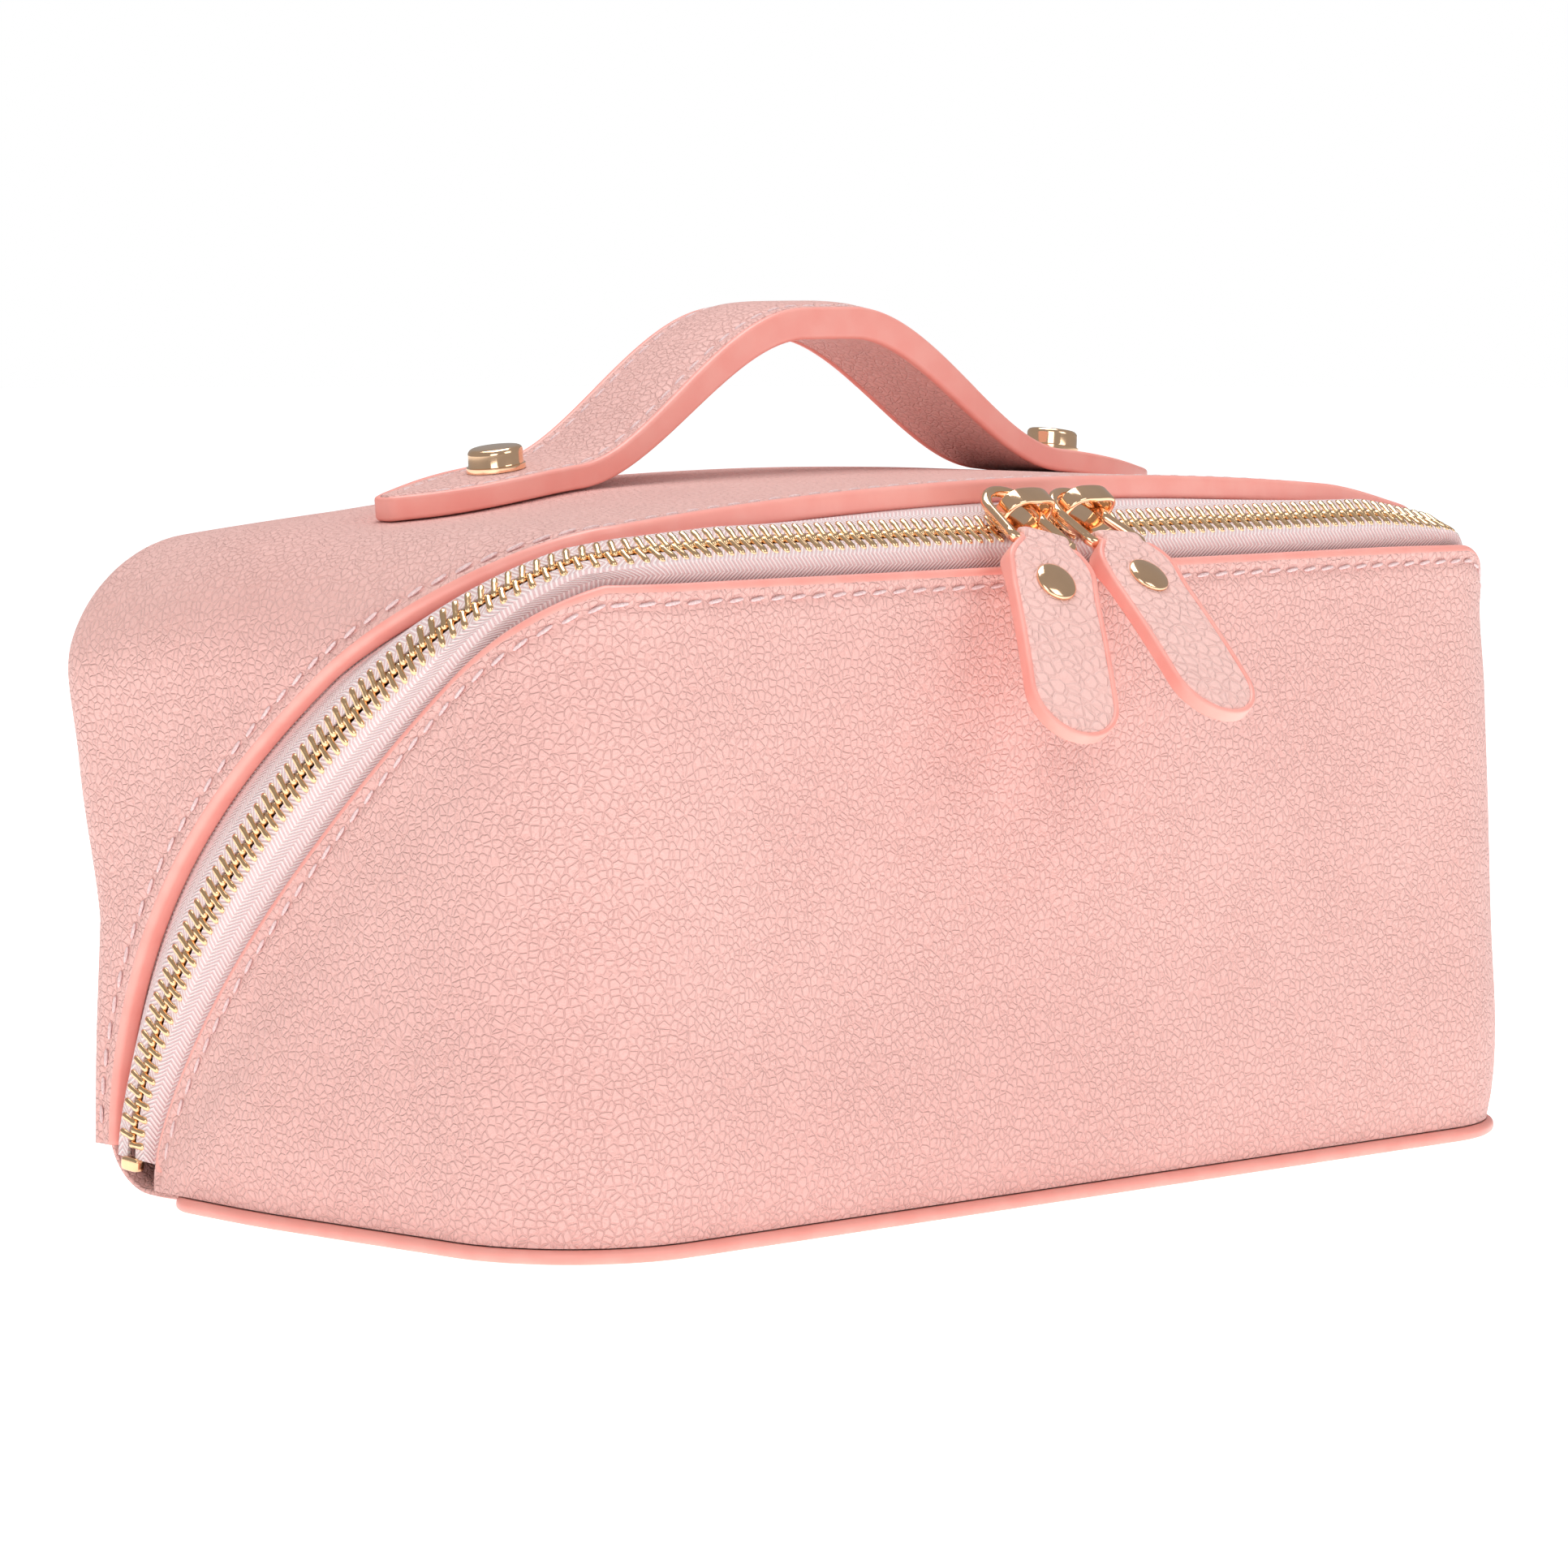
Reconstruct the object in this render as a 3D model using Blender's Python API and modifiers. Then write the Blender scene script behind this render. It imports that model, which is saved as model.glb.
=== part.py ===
"""A soft leather train case that opens flat: tray, lid, two-way zip and carrying handle.

Frame: X runs along the length, -Y is the front, +Z is up. The origin lies on the ground under the middle
of the case. Sizes are in metres.
"""
import math

import bmesh
import bpy
import numpy as np
from mathutils import Matrix, Vector

# ---------------------------------------------------------------- driving dimensions
LENGTH = 0.245                 # over the leather, end to end
DEPTH = 0.122                  # over the leather, front to back
TRAY_HEIGHT = 0.107            # front edge of the tray
LID_HEIGHT = 0.121             # middle of the lid, without the handle
CROWN_RADIUS = 0.95            # the lid's top is slightly arched along X
END_TOP_RADIUS = 0.025         # where each end of the lid turns into its top
FRONT_CORNER_RADIUS = 0.026    # upright front corners of the tray
WALL = 0.003                   # leather on its backing
LINING = 0.001
BOARD = 0.0015                 # stiffening boards
GAP = 0.0004                   # between pieces that touch

# zip opening: where each leather edge starts at the hinge and ends at the front
ROW_WIDTH = 0.0030             # one row of the zip's teeth
LID_EDGE_SETBACK = 0.007 + 2 * ROW_WIDTH   # the lid's front edge, behind the tray's front: room for the zip
LID_FOOT_INSET = 0.0065        # bottom of the lid's edge, forward of the back
LID_FOOT_HEIGHT = 0.009
TRAY_FOOT_INSET = 0.018        # bottom of the tray's edge, forward of the back
TRAY_FOOT_HEIGHT = 0.006
TRAY_RUN_START = 0.004         # the front run starts this far behind the tray's front
LID_RISE, LID_REACH, LID_FALL = 0.36, 0.556, 0.244       # fullness of the lid's edge curve
TRAY_RISE, TRAY_REACH, TRAY_FALL = 0.18, 0.325, 0.158    # fullness of the tray's edge curve

# base and hinge
BASE_THICKNESS = 0.0023
BASE_MARGIN = 0.0015           # the base panel's painted edge stands out past the tray
BASE_BACK_INSET = 0.021        # back edge of the base panel, forward of the back
BASE_BACK_RADIUS = 0.008
HINGE_RADIUS = 0.012           # outside radius of the bottom-back bend
HINGE_END_INSET = 0.008        # the hinge strip stops short of each end
HINGE_LAND = 0.002             # flat of the strip above the bend

# zip
TAPE = 0.0006
TAPE_TUCK = 0.006              # sewn margin behind each leather edge
CHAIN_INSET = 0.0015           # the chain is set out from lines this far inside the leather faces
CHAIN_LIFT = 0.0018            # and rides this far outside the line between them
CHAIN_STRAIGHT = LENGTH / 2 - 0.0415   # half of the straight front run
CHAIN_HALF_SPLIT = 0.0006      # half of the slot between the two rows
ROW_THICKNESS = 0.0024
STOP_LENGTH = 0.003
LINING_DROP = 0.0015           # linings end this far inside the tape's sewn margin

# sliders and pulls
SLIDER_LENGTH = 0.0132
SLIDER_WIDTH = 0.0098
SLIDER_PLATE = 0.0011
SLIDER_WAIST = 0.78            # narrow end of a slider, as a share of its width
SLIDER_BEVEL = 0.18            # cut corners of a slider, as a share of its width
LEFT_SLIDER_X = -0.014
SLIDER_SPACING = 0.015
BRIDGE_HALF = 0.0048           # half length of the bridge over the ring, between wire centres
BRIDGE_WIRE = 0.0010           # radius
BRIDGE_RISE = 0.0044           # of the bridge's centre line above the top plate
BRIDGE_BEND = 0.0022
WEB_START = 0.0010             # the web between the rows, from the slider's middle
WEB_PLAY = 0.0003              # room for the web between the rows
RING_WIRE = 0.0009             # radius
RING_HALF = 0.0060             # half width at the tab
RING_ARC = 0.0052              # radius of the end that passes through the bridge
RING_ARC_SHIFT = -0.0032       # that end sits to the left of the bridge's middle
RING_REACH = 0.0105            # from the bridge to the bar inside the tab
RING_CORNER = 0.0015
TAB_WIDTH = 0.0168
TAB_LENGTH = 0.0410
TAB_THICKNESS = 0.0046
TAB_NECK = 0.0030              # length of the narrow fold that turns on the ring
TAB_SHOULDER = 0.0030
TAB_RIVET_RADIUS = 0.0037
TAB_RIVET_DOME = 0.0011
TAB_RIVET_AT = 0.0095          # below the ring's bar
PULLS = {"left": (math.radians(-24.0), math.radians(13.0)),     # lean in the plane of the tape, and how far
         "right": (math.radians(-8.0), math.radians(3.0))}      # the tab hangs in from it towards the wall

# handle
HANDLE_BACK = 0.012            # centre line of the strap, behind the middle of the case
HANDLE_HALF = 0.0945           # to the pointed tip
HANDLE_WIDTH = 0.022
HANDLE_END_THICKNESS = 0.004
HANDLE_THICKNESS = 0.0055
HANDLE_RISE = 0.0225           # finger room under the arch
HANDLE_FOOT = 0.060            # the strap leaves the lid here
HANDLE_LEVEL = 0.006           # half of the level top of the arch
HANDLE_POINT = 0.026           # length of each pointed end
HANDLE_TIP = 0.003             # width of the blunt tip
RIVET_AT = 0.069
RIVET_RADIUS = 0.0050
RIVET_HEIGHT = 0.0047
RIVET_FOOT = 0.0006            # thickness of the head's wider foot
RIVET_ROUND = 0.0010           # depth of the head's rounded rim
SHANK_RADIUS = 0.0016
SHANK_END = 0.0014             # the shank passes this far through the washer's upper face
WASHER_RADIUS = 0.0055
WASHER_THICKNESS = 0.0008
BORE_LENGTH = 0.040

FINISHES = {                   # colour, roughness, metallic
    "leather": ((0.82, 0.47, 0.43), 0.55, 0.0),
    "painted_edge": ((0.93, 0.39, 0.32), 0.45, 0.0),
    "twill": ((0.86, 0.64, 0.66), 0.85, 0.0),
    "lining": ((0.80, 0.60, 0.58), 0.80, 0.0),
    "board": ((0.55, 0.45, 0.36), 0.90, 0.0),
    "gold": ((0.90, 0.68, 0.38), 0.22, 1.0),
}

SHARP = math.radians(35.0)     # corners sharper than this stay sharp
MIDDLE_ARC = 20                # columns on a rounded corner
COLUMNS_END = 40               # stations from each foot of the zip to the front run
COLUMNS_FRONT = 16             # stations on half of the front run

# ---------------------------------------------------------------- scene helpers


def clear_scene():
    for item in list(bpy.data.objects):
        bpy.data.objects.remove(item)


def collection(name):
    group = bpy.data.collections.new(name)
    bpy.context.scene.collection.children.link(group)
    return group


def finish_of(name):
    if name in bpy.data.materials:
        return bpy.data.materials[name]
    colour, roughness, metallic = FINISHES[name]
    made = bpy.data.materials.new(name)
    made.use_nodes = True
    shader = made.node_tree.nodes["Principled BSDF"]
    shader.inputs["Base Color"].default_value = (*colour, 1.0)
    shader.inputs["Roughness"].default_value = roughness
    shader.inputs["Metallic"].default_value = metallic
    made.diffuse_color = (*colour, 1.0)
    return made


def place(name, mesh, finish, matrix=None):
    made = bpy.data.objects.new(name, mesh)
    mesh.materials.append(finish_of(finish))
    CASE.objects.link(made)
    if matrix is not None:
        made.matrix_world = matrix
    return made


def mesh_of(name, shape):
    """A mesh from a bmesh, with smooth faces and sharp corners."""
    mesh = bpy.data.meshes.new(name)
    shape.to_mesh(mesh)
    shape.free()
    mesh.shade_smooth()
    mesh.set_sharp_from_angle(angle=SHARP)
    return mesh


def sheet(name, points, thickness, finish, offset=-1.0):
    """An open surface through a grid of points, thickened inwards by Solidify."""
    rows, columns = points.shape[:2]
    shape = bmesh.new()
    grid = [[shape.verts.new(point) for point in row] for row in points.tolist()]
    for i in range(rows - 1):
        for j in range(columns - 1):
            shape.faces.new((grid[i][j], grid[i][j + 1], grid[i + 1][j + 1], grid[i + 1][j]))
    made = place(name, mesh_of(name, shape), finish)
    shell = made.modifiers.new("thickness", "SOLIDIFY")
    shell.thickness = thickness
    shell.offset = offset
    shell.use_even_offset = True
    return made


def loft(name, sections, finish, matrix=None):
    """A closed body through matching rings of corners, capped at both ends."""
    shape = bmesh.new()
    rings = [[shape.verts.new(point) for point in ring] for ring in np.asarray(sections).tolist()]
    count = len(rings[0])
    for first, second in zip(rings, rings[1:]):
        for k in range(count):
            n = (k + 1) % count
            shape.faces.new((first[k], first[n], second[n], second[k]))
    shape.faces.new(rings[0][::-1])
    shape.faces.new(rings[-1])
    bmesh.ops.recalc_face_normals(shape, faces=shape.faces)
    return place(name, mesh_of(name, shape), finish, matrix)


def plate(name, outline, low, high, finish, matrix=None):
    """A flat piece: an outline of (x, y) corners between two heights."""
    rings = [[(x, y, z) for x, y in outline] for z in (low, high)]
    return loft(name, rings, finish, matrix)


def turned(name, profile, finish, matrix, steps=24):
    """A turned piece from (radius, height) corners that run down its outer side."""
    shape = bmesh.new()
    corners = [shape.verts.new((radius, 0.0, height)) for radius, height in profile]
    for first, second in zip(corners, corners[1:]):
        shape.edges.new((first, second))
    made = place(name, mesh_of(name, shape), finish, matrix)
    spin = made.modifiers.new("turn", "SCREW")
    spin.steps = steps
    spin.render_steps = steps
    spin.use_merge_vertices = True
    spin.merge_threshold = 0.00001
    spin.use_smooth_shade = True
    return made


def cutter_cylinder(name, radius, length, matrix, segments=20):
    shape = bmesh.new()
    bmesh.ops.create_cone(shape, cap_ends=True, segments=segments, radius1=radius, radius2=radius,
                          depth=length)
    made = bpy.data.objects.new(name, mesh_of(name, shape))
    made.matrix_world = matrix
    made.hide_render = True
    made.display_type = "WIRE"
    CUTTERS.objects.link(made)
    return made


def combine(target, tool, operation):
    join = target.modifiers.new(operation.lower() + "_" + tool.name, "BOOLEAN")
    join.operation = operation
    join.solver = "EXACT"
    join.object = tool


# ---------------------------------------------------------------- shape of the case


def bezier(points, count):
    """Cubic curve through its first and last point, bent towards the two between."""
    p0, p1, p2, p3 = (np.array(p) for p in points)
    t = np.linspace(0.0, 1.0, count)[:, None]
    return (1 - t) ** 3 * p0 + 3 * (1 - t) ** 2 * t * p1 + 3 * (1 - t) * t ** 2 * p2 + t ** 3 * p3


def edge_curve(foot, top, rise, reach, fall, count=400):
    """Side view (y, z) of a leather edge, from its foot at the hinge up to the front."""
    span_y, span_z = foot[0] - top[0], top[1] - foot[1]
    return bezier((foot, (foot[0], foot[1] + rise * span_z),
                   (top[0] + reach * span_y, top[1] - fall * span_z), top), count)


BACK = DEPTH / 2
FRONT = -DEPTH / 2
SIDE = LENGTH / 2
CROWN_CENTRE = LID_HEIGHT - CROWN_RADIUS
CORNER_X = SIDE - END_TOP_RADIUS
CORNER_Z = CROWN_CENTRE + math.sqrt((CROWN_RADIUS - END_TOP_RADIUS) ** 2 - CORNER_X ** 2)
CORNER_TOP = CORNER_Z + END_TOP_RADIUS
LID_FRONT = FRONT + LID_EDGE_SETBACK
TAPE_INSET = WALL + 2 * GAP + TAPE / 2
FLOOR_TOP = BASE_THICKNESS + BOARD + LINING + 3 * GAP
LID_EDGE = edge_curve((BACK - LID_FOOT_INSET, LID_FOOT_HEIGHT), (LID_FRONT, CORNER_TOP),
                      LID_RISE, LID_REACH, LID_FALL)
TRAY_EDGE = edge_curve((BACK - TRAY_FOOT_INSET, TRAY_FOOT_HEIGHT), (FRONT + TRAY_RUN_START, TRAY_HEIGHT),
                       TRAY_RISE, TRAY_REACH, TRAY_FALL)


def lid_edge_y(z):
    return np.interp(z, LID_EDGE[:, 1], LID_EDGE[:, 0])


def tray_edge_z(y):
    return np.interp(y, TRAY_EDGE[::-1, 0], TRAY_EDGE[::-1, 1])


def crown_z(x):
    """Height of the lid's outer face along its length, between the rounded ends."""
    return CROWN_CENTRE + np.sqrt(CROWN_RADIUS ** 2 - np.asarray(x) ** 2)


def arch(inset=0.0, foot=LID_FOOT_HEIGHT, rise_count=10, corner_count=10, crown_count=14):
    """Section (x, z) of the lid from the left foot over the top to the right foot."""
    lean = math.asin(CORNER_X / (CROWN_RADIUS - END_TOP_RADIUS))
    upright = np.column_stack((np.full(rise_count, -SIDE + inset),
                               np.linspace(foot, CORNER_Z, rise_count, endpoint=False)))
    turn = np.linspace(math.pi, math.pi / 2 + lean, corner_count, endpoint=False)
    radius = END_TOP_RADIUS - inset
    corner = np.column_stack((-CORNER_X + radius * np.cos(turn), CORNER_Z + radius * np.sin(turn)))
    sweep = np.linspace(-lean, 0.0, crown_count)
    radius = CROWN_RADIUS - inset
    crown = np.column_stack((radius * np.sin(sweep), CROWN_CENTRE + radius * np.cos(sweep)))
    half = np.vstack((upright, corner, crown))
    return np.vstack((half, half[-2::-1] * (-1, 1)))


def outline(inset=0.0, back=BACK - TRAY_FOOT_INSET, end_count=16, front_count=12):
    """Plan (x, y) of the tray's wall from the left foot round the front to the right foot."""
    radius = FRONT_CORNER_RADIUS - inset
    centre_x, centre_y = SIDE - FRONT_CORNER_RADIUS, FRONT + FRONT_CORNER_RADIUS
    end = np.column_stack((np.full(end_count, -SIDE + inset),
                           np.linspace(back, centre_y, end_count, endpoint=False)))
    turn = np.linspace(math.pi, 1.5 * math.pi, MIDDLE_ARC // 2, endpoint=False)
    corner = np.column_stack((-centre_x + radius * np.cos(turn), centre_y + radius * np.sin(turn)))
    front = np.column_stack((np.linspace(-centre_x, 0.0, front_count), np.full(front_count, FRONT + inset)))
    half = np.vstack((end, corner, front))
    return np.vstack((half, half[-2::-1] * (-1, 1)))


def between(lower, upper, rows):
    """Rows of points that step evenly from one line of points to another."""
    share = np.linspace(0.0, 1.0, rows)[:, None, None]
    return lower * (1 - share) + upper * share


def wall_between(plan, low, high, rows=4):
    """A grid up the tray's wall, from a level foot to a height for each plan point."""
    lower = np.column_stack((plan, np.full(len(plan), low)))
    upper = np.column_stack((plan, np.broadcast_to(high, len(plan))))
    return between(lower, upper, rows)


def lid_between(section, front, back, rows=4):
    """A grid over the lid, from its sloping front edge to a straight back."""
    lower = np.column_stack((section[:, 0], front, section[:, 1]))
    upper = np.column_stack((section[:, 0], np.full(len(section), back), section[:, 1]))
    return between(lower, upper, rows)


def resample(points, count):
    """The same line with evenly spaced points."""
    run = np.concatenate(([0.0], np.cumsum(np.linalg.norm(np.diff(points, axis=0), axis=1))))
    at = np.linspace(0.0, run[-1], count)
    return np.column_stack([np.interp(at, run, points[:, k]) for k in range(points.shape[1])])


def unit(vectors):
    return vectors / np.linalg.norm(vectors, axis=-1, keepdims=True)


def half_edges():
    """The tray's and the lid's leather edge on the left half, point for point, with inward normals."""
    run_x = SIDE - FRONT_CORNER_RADIUS
    plan = outline(end_count=160, front_count=40)
    plan = plan[:len(plan) // 2 + 1]
    tray = np.column_stack((plan, tray_edge_z(plan[:, 1])))
    section = arch(rise_count=80, corner_count=80, crown_count=60)
    section = section[:len(section) // 2 + 1]
    lid = np.column_stack((section[:, 0], lid_edge_y(section[:, 1]), section[:, 1]))
    front_x = np.linspace(-run_x, 0.0, COLUMNS_FRONT + 1)[1:]
    lines = []
    for line in (tray, lid):
        climb = resample(line[line[:, 0] <= -run_x + 1e-9], COLUMNS_END)
        run = np.column_stack((front_x, np.interp(front_x, line[:, 0], line[:, 1]),
                               np.interp(front_x, line[:, 0], line[:, 2])))
        lines.append(np.vstack((climb, run)))
    tray, lid = lines
    turn = np.clip((run_x + tray[:, 0]) / FRONT_CORNER_RADIUS, -1.0, 0.0)
    tray_in = np.column_stack((-turn, np.sqrt(1 - turn ** 2), np.zeros(len(tray))))
    tray_in[tray[:, 1] > FRONT + FRONT_CORNER_RADIUS] = (1.0, 0.0, 0.0)
    over = lid[:, [0, 2]] - (-CORNER_X, CORNER_Z)
    lid_in = np.column_stack((-over[:, 0], np.zeros(len(lid)), -over[:, 1]))
    lid_in[lid[:, 2] <= CORNER_Z] = (1.0, 0.0, 0.0)
    lid_in[lid[:, 0] >= -CORNER_X] = (0.0, 0.0, -1.0)
    return tray, lid, unit(tray_in), unit(lid_in)


def onto_round(a, b, centre_a, centre_b, radius):
    """Moves points beyond a rounded corner's centre lines onto the corner's arc."""
    over_a, over_b = a - centre_a, b - centre_b
    share = radius / np.hypot(over_a, over_b)
    return centre_a + over_a * share, centre_b + over_b * share


def onto_tray(points, inset):
    """Points moved onto the face that lies this far inside the tray's wall."""
    points = points.copy()
    side = np.where(points[:, 0] < 0, -1.0, 1.0)
    x, y = np.abs(points[:, 0]), points[:, 1]
    centre_x, centre_y = SIDE - FRONT_CORNER_RADIUS, FRONT + FRONT_CORNER_RADIUS
    turn_x, turn_y = onto_round(x, y, centre_x, centre_y, FRONT_CORNER_RADIUS - inset)
    corner = (x > centre_x) & (y < centre_y)
    end = (x > centre_x) & ~corner
    points[:, 0] = side * np.where(corner, turn_x, np.where(end, SIDE - inset, x))
    points[:, 1] = np.where(corner, turn_y, np.where(end, y, FRONT + inset))
    return points


def onto_lid(points, inset):
    """Points moved onto the face that lies this far inside the lid."""
    points = points.copy()
    side = np.where(points[:, 0] < 0, -1.0, 1.0)
    x, z = np.abs(points[:, 0]), points[:, 2]
    turn_x, turn_z = onto_round(x, z, CORNER_X, CORNER_Z, END_TOP_RADIUS - inset)
    corner = (x > CORNER_X) & (z > CORNER_Z)
    end = (x > CORNER_X) & ~corner
    points[:, 0] = side * np.where(corner, turn_x, np.where(end, SIDE - inset, x))
    points[:, 2] = np.where(corner, turn_z, np.where(end, z, crown_z(np.minimum(x, CORNER_X)) - inset))
    return points


def tray_run(plan):
    """Distance round the tray's plan to each point: along the end, round the corner, to the middle."""
    x, y = np.abs(plan[:, 0]), plan[:, 1]
    centre_x, centre_y = SIDE - FRONT_CORNER_RADIUS, FRONT + FRONT_CORNER_RADIUS
    angle = np.arctan2(centre_y - y, x - centre_x)
    corner = -centre_y + FRONT_CORNER_RADIUS * angle
    front = -centre_y + FRONT_CORNER_RADIUS * math.pi / 2 + centre_x - x
    return np.where(x <= centre_x, front, np.where(y > centre_y, -y, corner))


def lid_run(section):
    """Distance over the lid's section to each point: up the end, round the corner, to the middle."""
    x, z = np.abs(section[:, 0]), section[:, 1]
    corner = CORNER_Z + END_TOP_RADIUS * np.arctan2(z - CORNER_Z, x - CORNER_X)
    top = CORNER_Z + END_TOP_RADIUS * math.pi / 2 + CORNER_X - x
    return np.where(x <= CORNER_X, top, np.where(z < CORNER_Z, z, corner))


def mirrored(points):
    """A left half with its mirror image, so the line runs from end to end."""
    return np.vstack((points, points[-2::-1] * (-1, 1, 1)))


def zip_path():
    """Edges, tape borders, centre line and frame of the zip, from the left foot to the right foot."""
    tray, lid, tray_in, lid_in = half_edges()
    tape_tray = tray + TAPE_INSET * tray_in
    tape_lid = lid + TAPE_INSET * lid_in
    guide_tray = tray + CHAIN_INSET * tray_in
    guide_lid = lid + CHAIN_INSET * lid_in
    guide_lid[:, 2] = np.minimum(guide_lid[:, 2], crown_z(CHAIN_STRAIGHT) - CHAIN_INSET)
    along = unit(np.gradient((guide_tray + guide_lid) / 2, axis=0))
    along[-1] = (1.0, 0.0, 0.0)
    across = guide_lid - guide_tray
    across = unit(across - along * np.sum(across * along, axis=1, keepdims=True))
    out = np.cross(along, across)
    middle = (guide_tray + guide_lid) / 2 + CHAIN_LIFT * out
    full = {"tape_tray": mirrored(tape_tray), "tape_lid": mirrored(tape_lid), "middle": mirrored(middle)}
    full["across"] = mirrored(across)
    full["out"] = mirrored(out)
    full["tray_in"] = mirrored(tray_in)
    full["lid_in"] = mirrored(lid_in)
    full["along"] = unit(np.gradient(full["middle"], axis=0))
    return full


def tape_tail(path, side):
    """The line where the tape's sewn margin ends, inside the tray or the lid."""
    border, inward, across = path["tape_" + side], path[side + "_in"], path["across"]
    toward, settle = (-1.0, onto_tray) if side == "tray" else (1.0, onto_lid)
    flat = across - inward * np.sum(across * inward, axis=1, keepdims=True)
    tail = settle(border + toward * TAPE_TUCK * unit(flat), TAPE_INSET)
    tail[:, 1] = np.minimum(tail[:, 1], BACK - WALL - LINING - 3 * GAP)
    tail[:, 2] = np.maximum(tail[:, 2], FLOOR_TOP + TAPE)
    return tail


def chain_frame():
    """Axes of the straight front run: along the chain, up the tape, and outwards."""
    path = zip_path()
    centre = len(path["middle"]) // 2
    along = Vector((1.0, 0.0, 0.0))
    across = Vector(path["across"][centre])
    out = along.cross(across)
    return Vector(path["middle"][centre]), along, across, out


# ---------------------------------------------------------------- tray


def build_tray():
    plan = outline()
    sheet("tray_shell", wall_between(plan, BASE_THICKNESS + GAP, tray_edge_z(plan[:, 1]), rows=3),
          WALL, "leather")
    tail = tape_tail(zip_path(), "tray")
    half = tail[:len(tail) // 2 + 1]
    lining_top = np.interp(tray_run(plan), tray_run(half), half[:, 2]) - LINING_DROP
    lined = outline(inset=WALL + GAP)
    keep = lining_top > FLOOR_TOP + 2 * LINING
    sheet("tray_lining", wall_between(lined[keep], FLOOR_TOP, lining_top[keep], rows=3), LINING, "lining")


def floor_outline(inset, back, back_radius):
    """Closed plan of a flat piece: the tray's rounded front with a rounded back edge."""
    walk = outline(inset=inset, back=back - back_radius, end_count=2, front_count=2)
    turn = np.linspace(0.0, math.pi / 2, 7)
    right = np.column_stack((SIDE - inset - back_radius + back_radius * np.cos(turn),
                             back - back_radius + back_radius * np.sin(turn)))
    left = right[::-1] * (-1, 1)
    return np.vstack((walk, right[1:], left[:-1])).tolist()


def build_base():
    back = BACK - BASE_BACK_INSET
    base = floor_outline(-BASE_MARGIN, back, BASE_BACK_RADIUS)
    plate("base_panel", base, 0.0, BASE_THICKNESS, "painted_edge")
    inner = floor_outline(WALL + GAP, back - GAP, BASE_BACK_RADIUS / 2)
    low = BASE_THICKNESS + GAP
    plate("base_board", inner, low, low + BOARD, "board")
    low += BOARD + GAP
    plate("floor_lining", inner, low, low + LINING, "lining")


def build_hinge():
    """The leather bend that joins the base to the back panel."""
    start = BACK - BASE_BACK_INSET + GAP
    turn = np.linspace(-math.pi / 2, 0.0, 12)
    centre_y, centre_z = BACK - HINGE_RADIUS, HINGE_RADIUS
    bend = np.column_stack((centre_y + HINGE_RADIUS * np.cos(turn), centre_z + HINGE_RADIUS * np.sin(turn)))
    line = np.vstack(((start, 0.0), bend, (BACK, HINGE_RADIUS + HINGE_LAND - GAP)))
    half = SIDE - HINGE_END_INSET
    ends = np.array([-half, half])
    points = np.array([[(x, y, z) for y, z in line] for x in ends])
    sheet("hinge_strip", points, BASE_THICKNESS, "leather")


# ---------------------------------------------------------------- lid


def build_lid():
    section = arch()
    sheet("lid_shell", lid_between(section, lid_edge_y(section[:, 1]), BACK - WALL - GAP), WALL, "leather")
    panel_foot = HINGE_RADIUS + HINGE_LAND
    upright = Matrix.Translation((0.0, BACK, 0.0)) @ Matrix.Rotation(math.pi / 2, 4, "X")
    back = arch(foot=panel_foot, rise_count=2)
    plate("back_panel", back.tolist(), 0.0, WALL, "leather", upright)
    inset = WALL + BOARD + 2 * GAP
    depth = WALL + GAP
    back = arch(inset=WALL + GAP, foot=panel_foot, rise_count=2)
    plate("back_lining", back.tolist(), depth, depth + LINING, "lining", upright)
    lined = arch(inset=inset, foot=panel_foot)
    outer = arch(foot=panel_foot)
    tail = tape_tail(zip_path(), "lid")
    half = tail[:len(tail) // 2 + 1]
    front = np.interp(lid_run(outer), lid_run(half[:, [0, 2]]), half[:, 1]) + LINING_DROP
    lining_back = BACK - WALL - LINING - 3 * GAP
    keep = front < lining_back - 2 * LINING
    sheet("lid_lining", lid_between(lined[keep], front[keep], lining_back), LINING, "lining")
    board = arch(inset=WALL + GAP)
    board = board[np.abs(board[:, 0]) < CORNER_X]
    board_front = np.full(len(board), LID_FRONT + TAPE_TUCK + LINING_DROP)
    sheet("lid_board", lid_between(board, board_front, lining_back), BOARD, "board")


# ---------------------------------------------------------------- zip


def build_tape(side, path):
    """Half of the zip's tape: tucked behind one leather edge and sewn to one row of teeth."""
    toward = -1.0 if side == "tray" else 1.0
    edge = path["middle"] + toward * (CHAIN_HALF_SPLIT + ROW_WIDTH + GAP) * path["across"]
    lines = [tape_tail(path, side), path["tape_" + side], edge]
    sheet(side + "_zip_tape", np.array(lines if toward < 0 else lines[::-1]), TAPE, "twill", offset=0.0)


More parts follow.
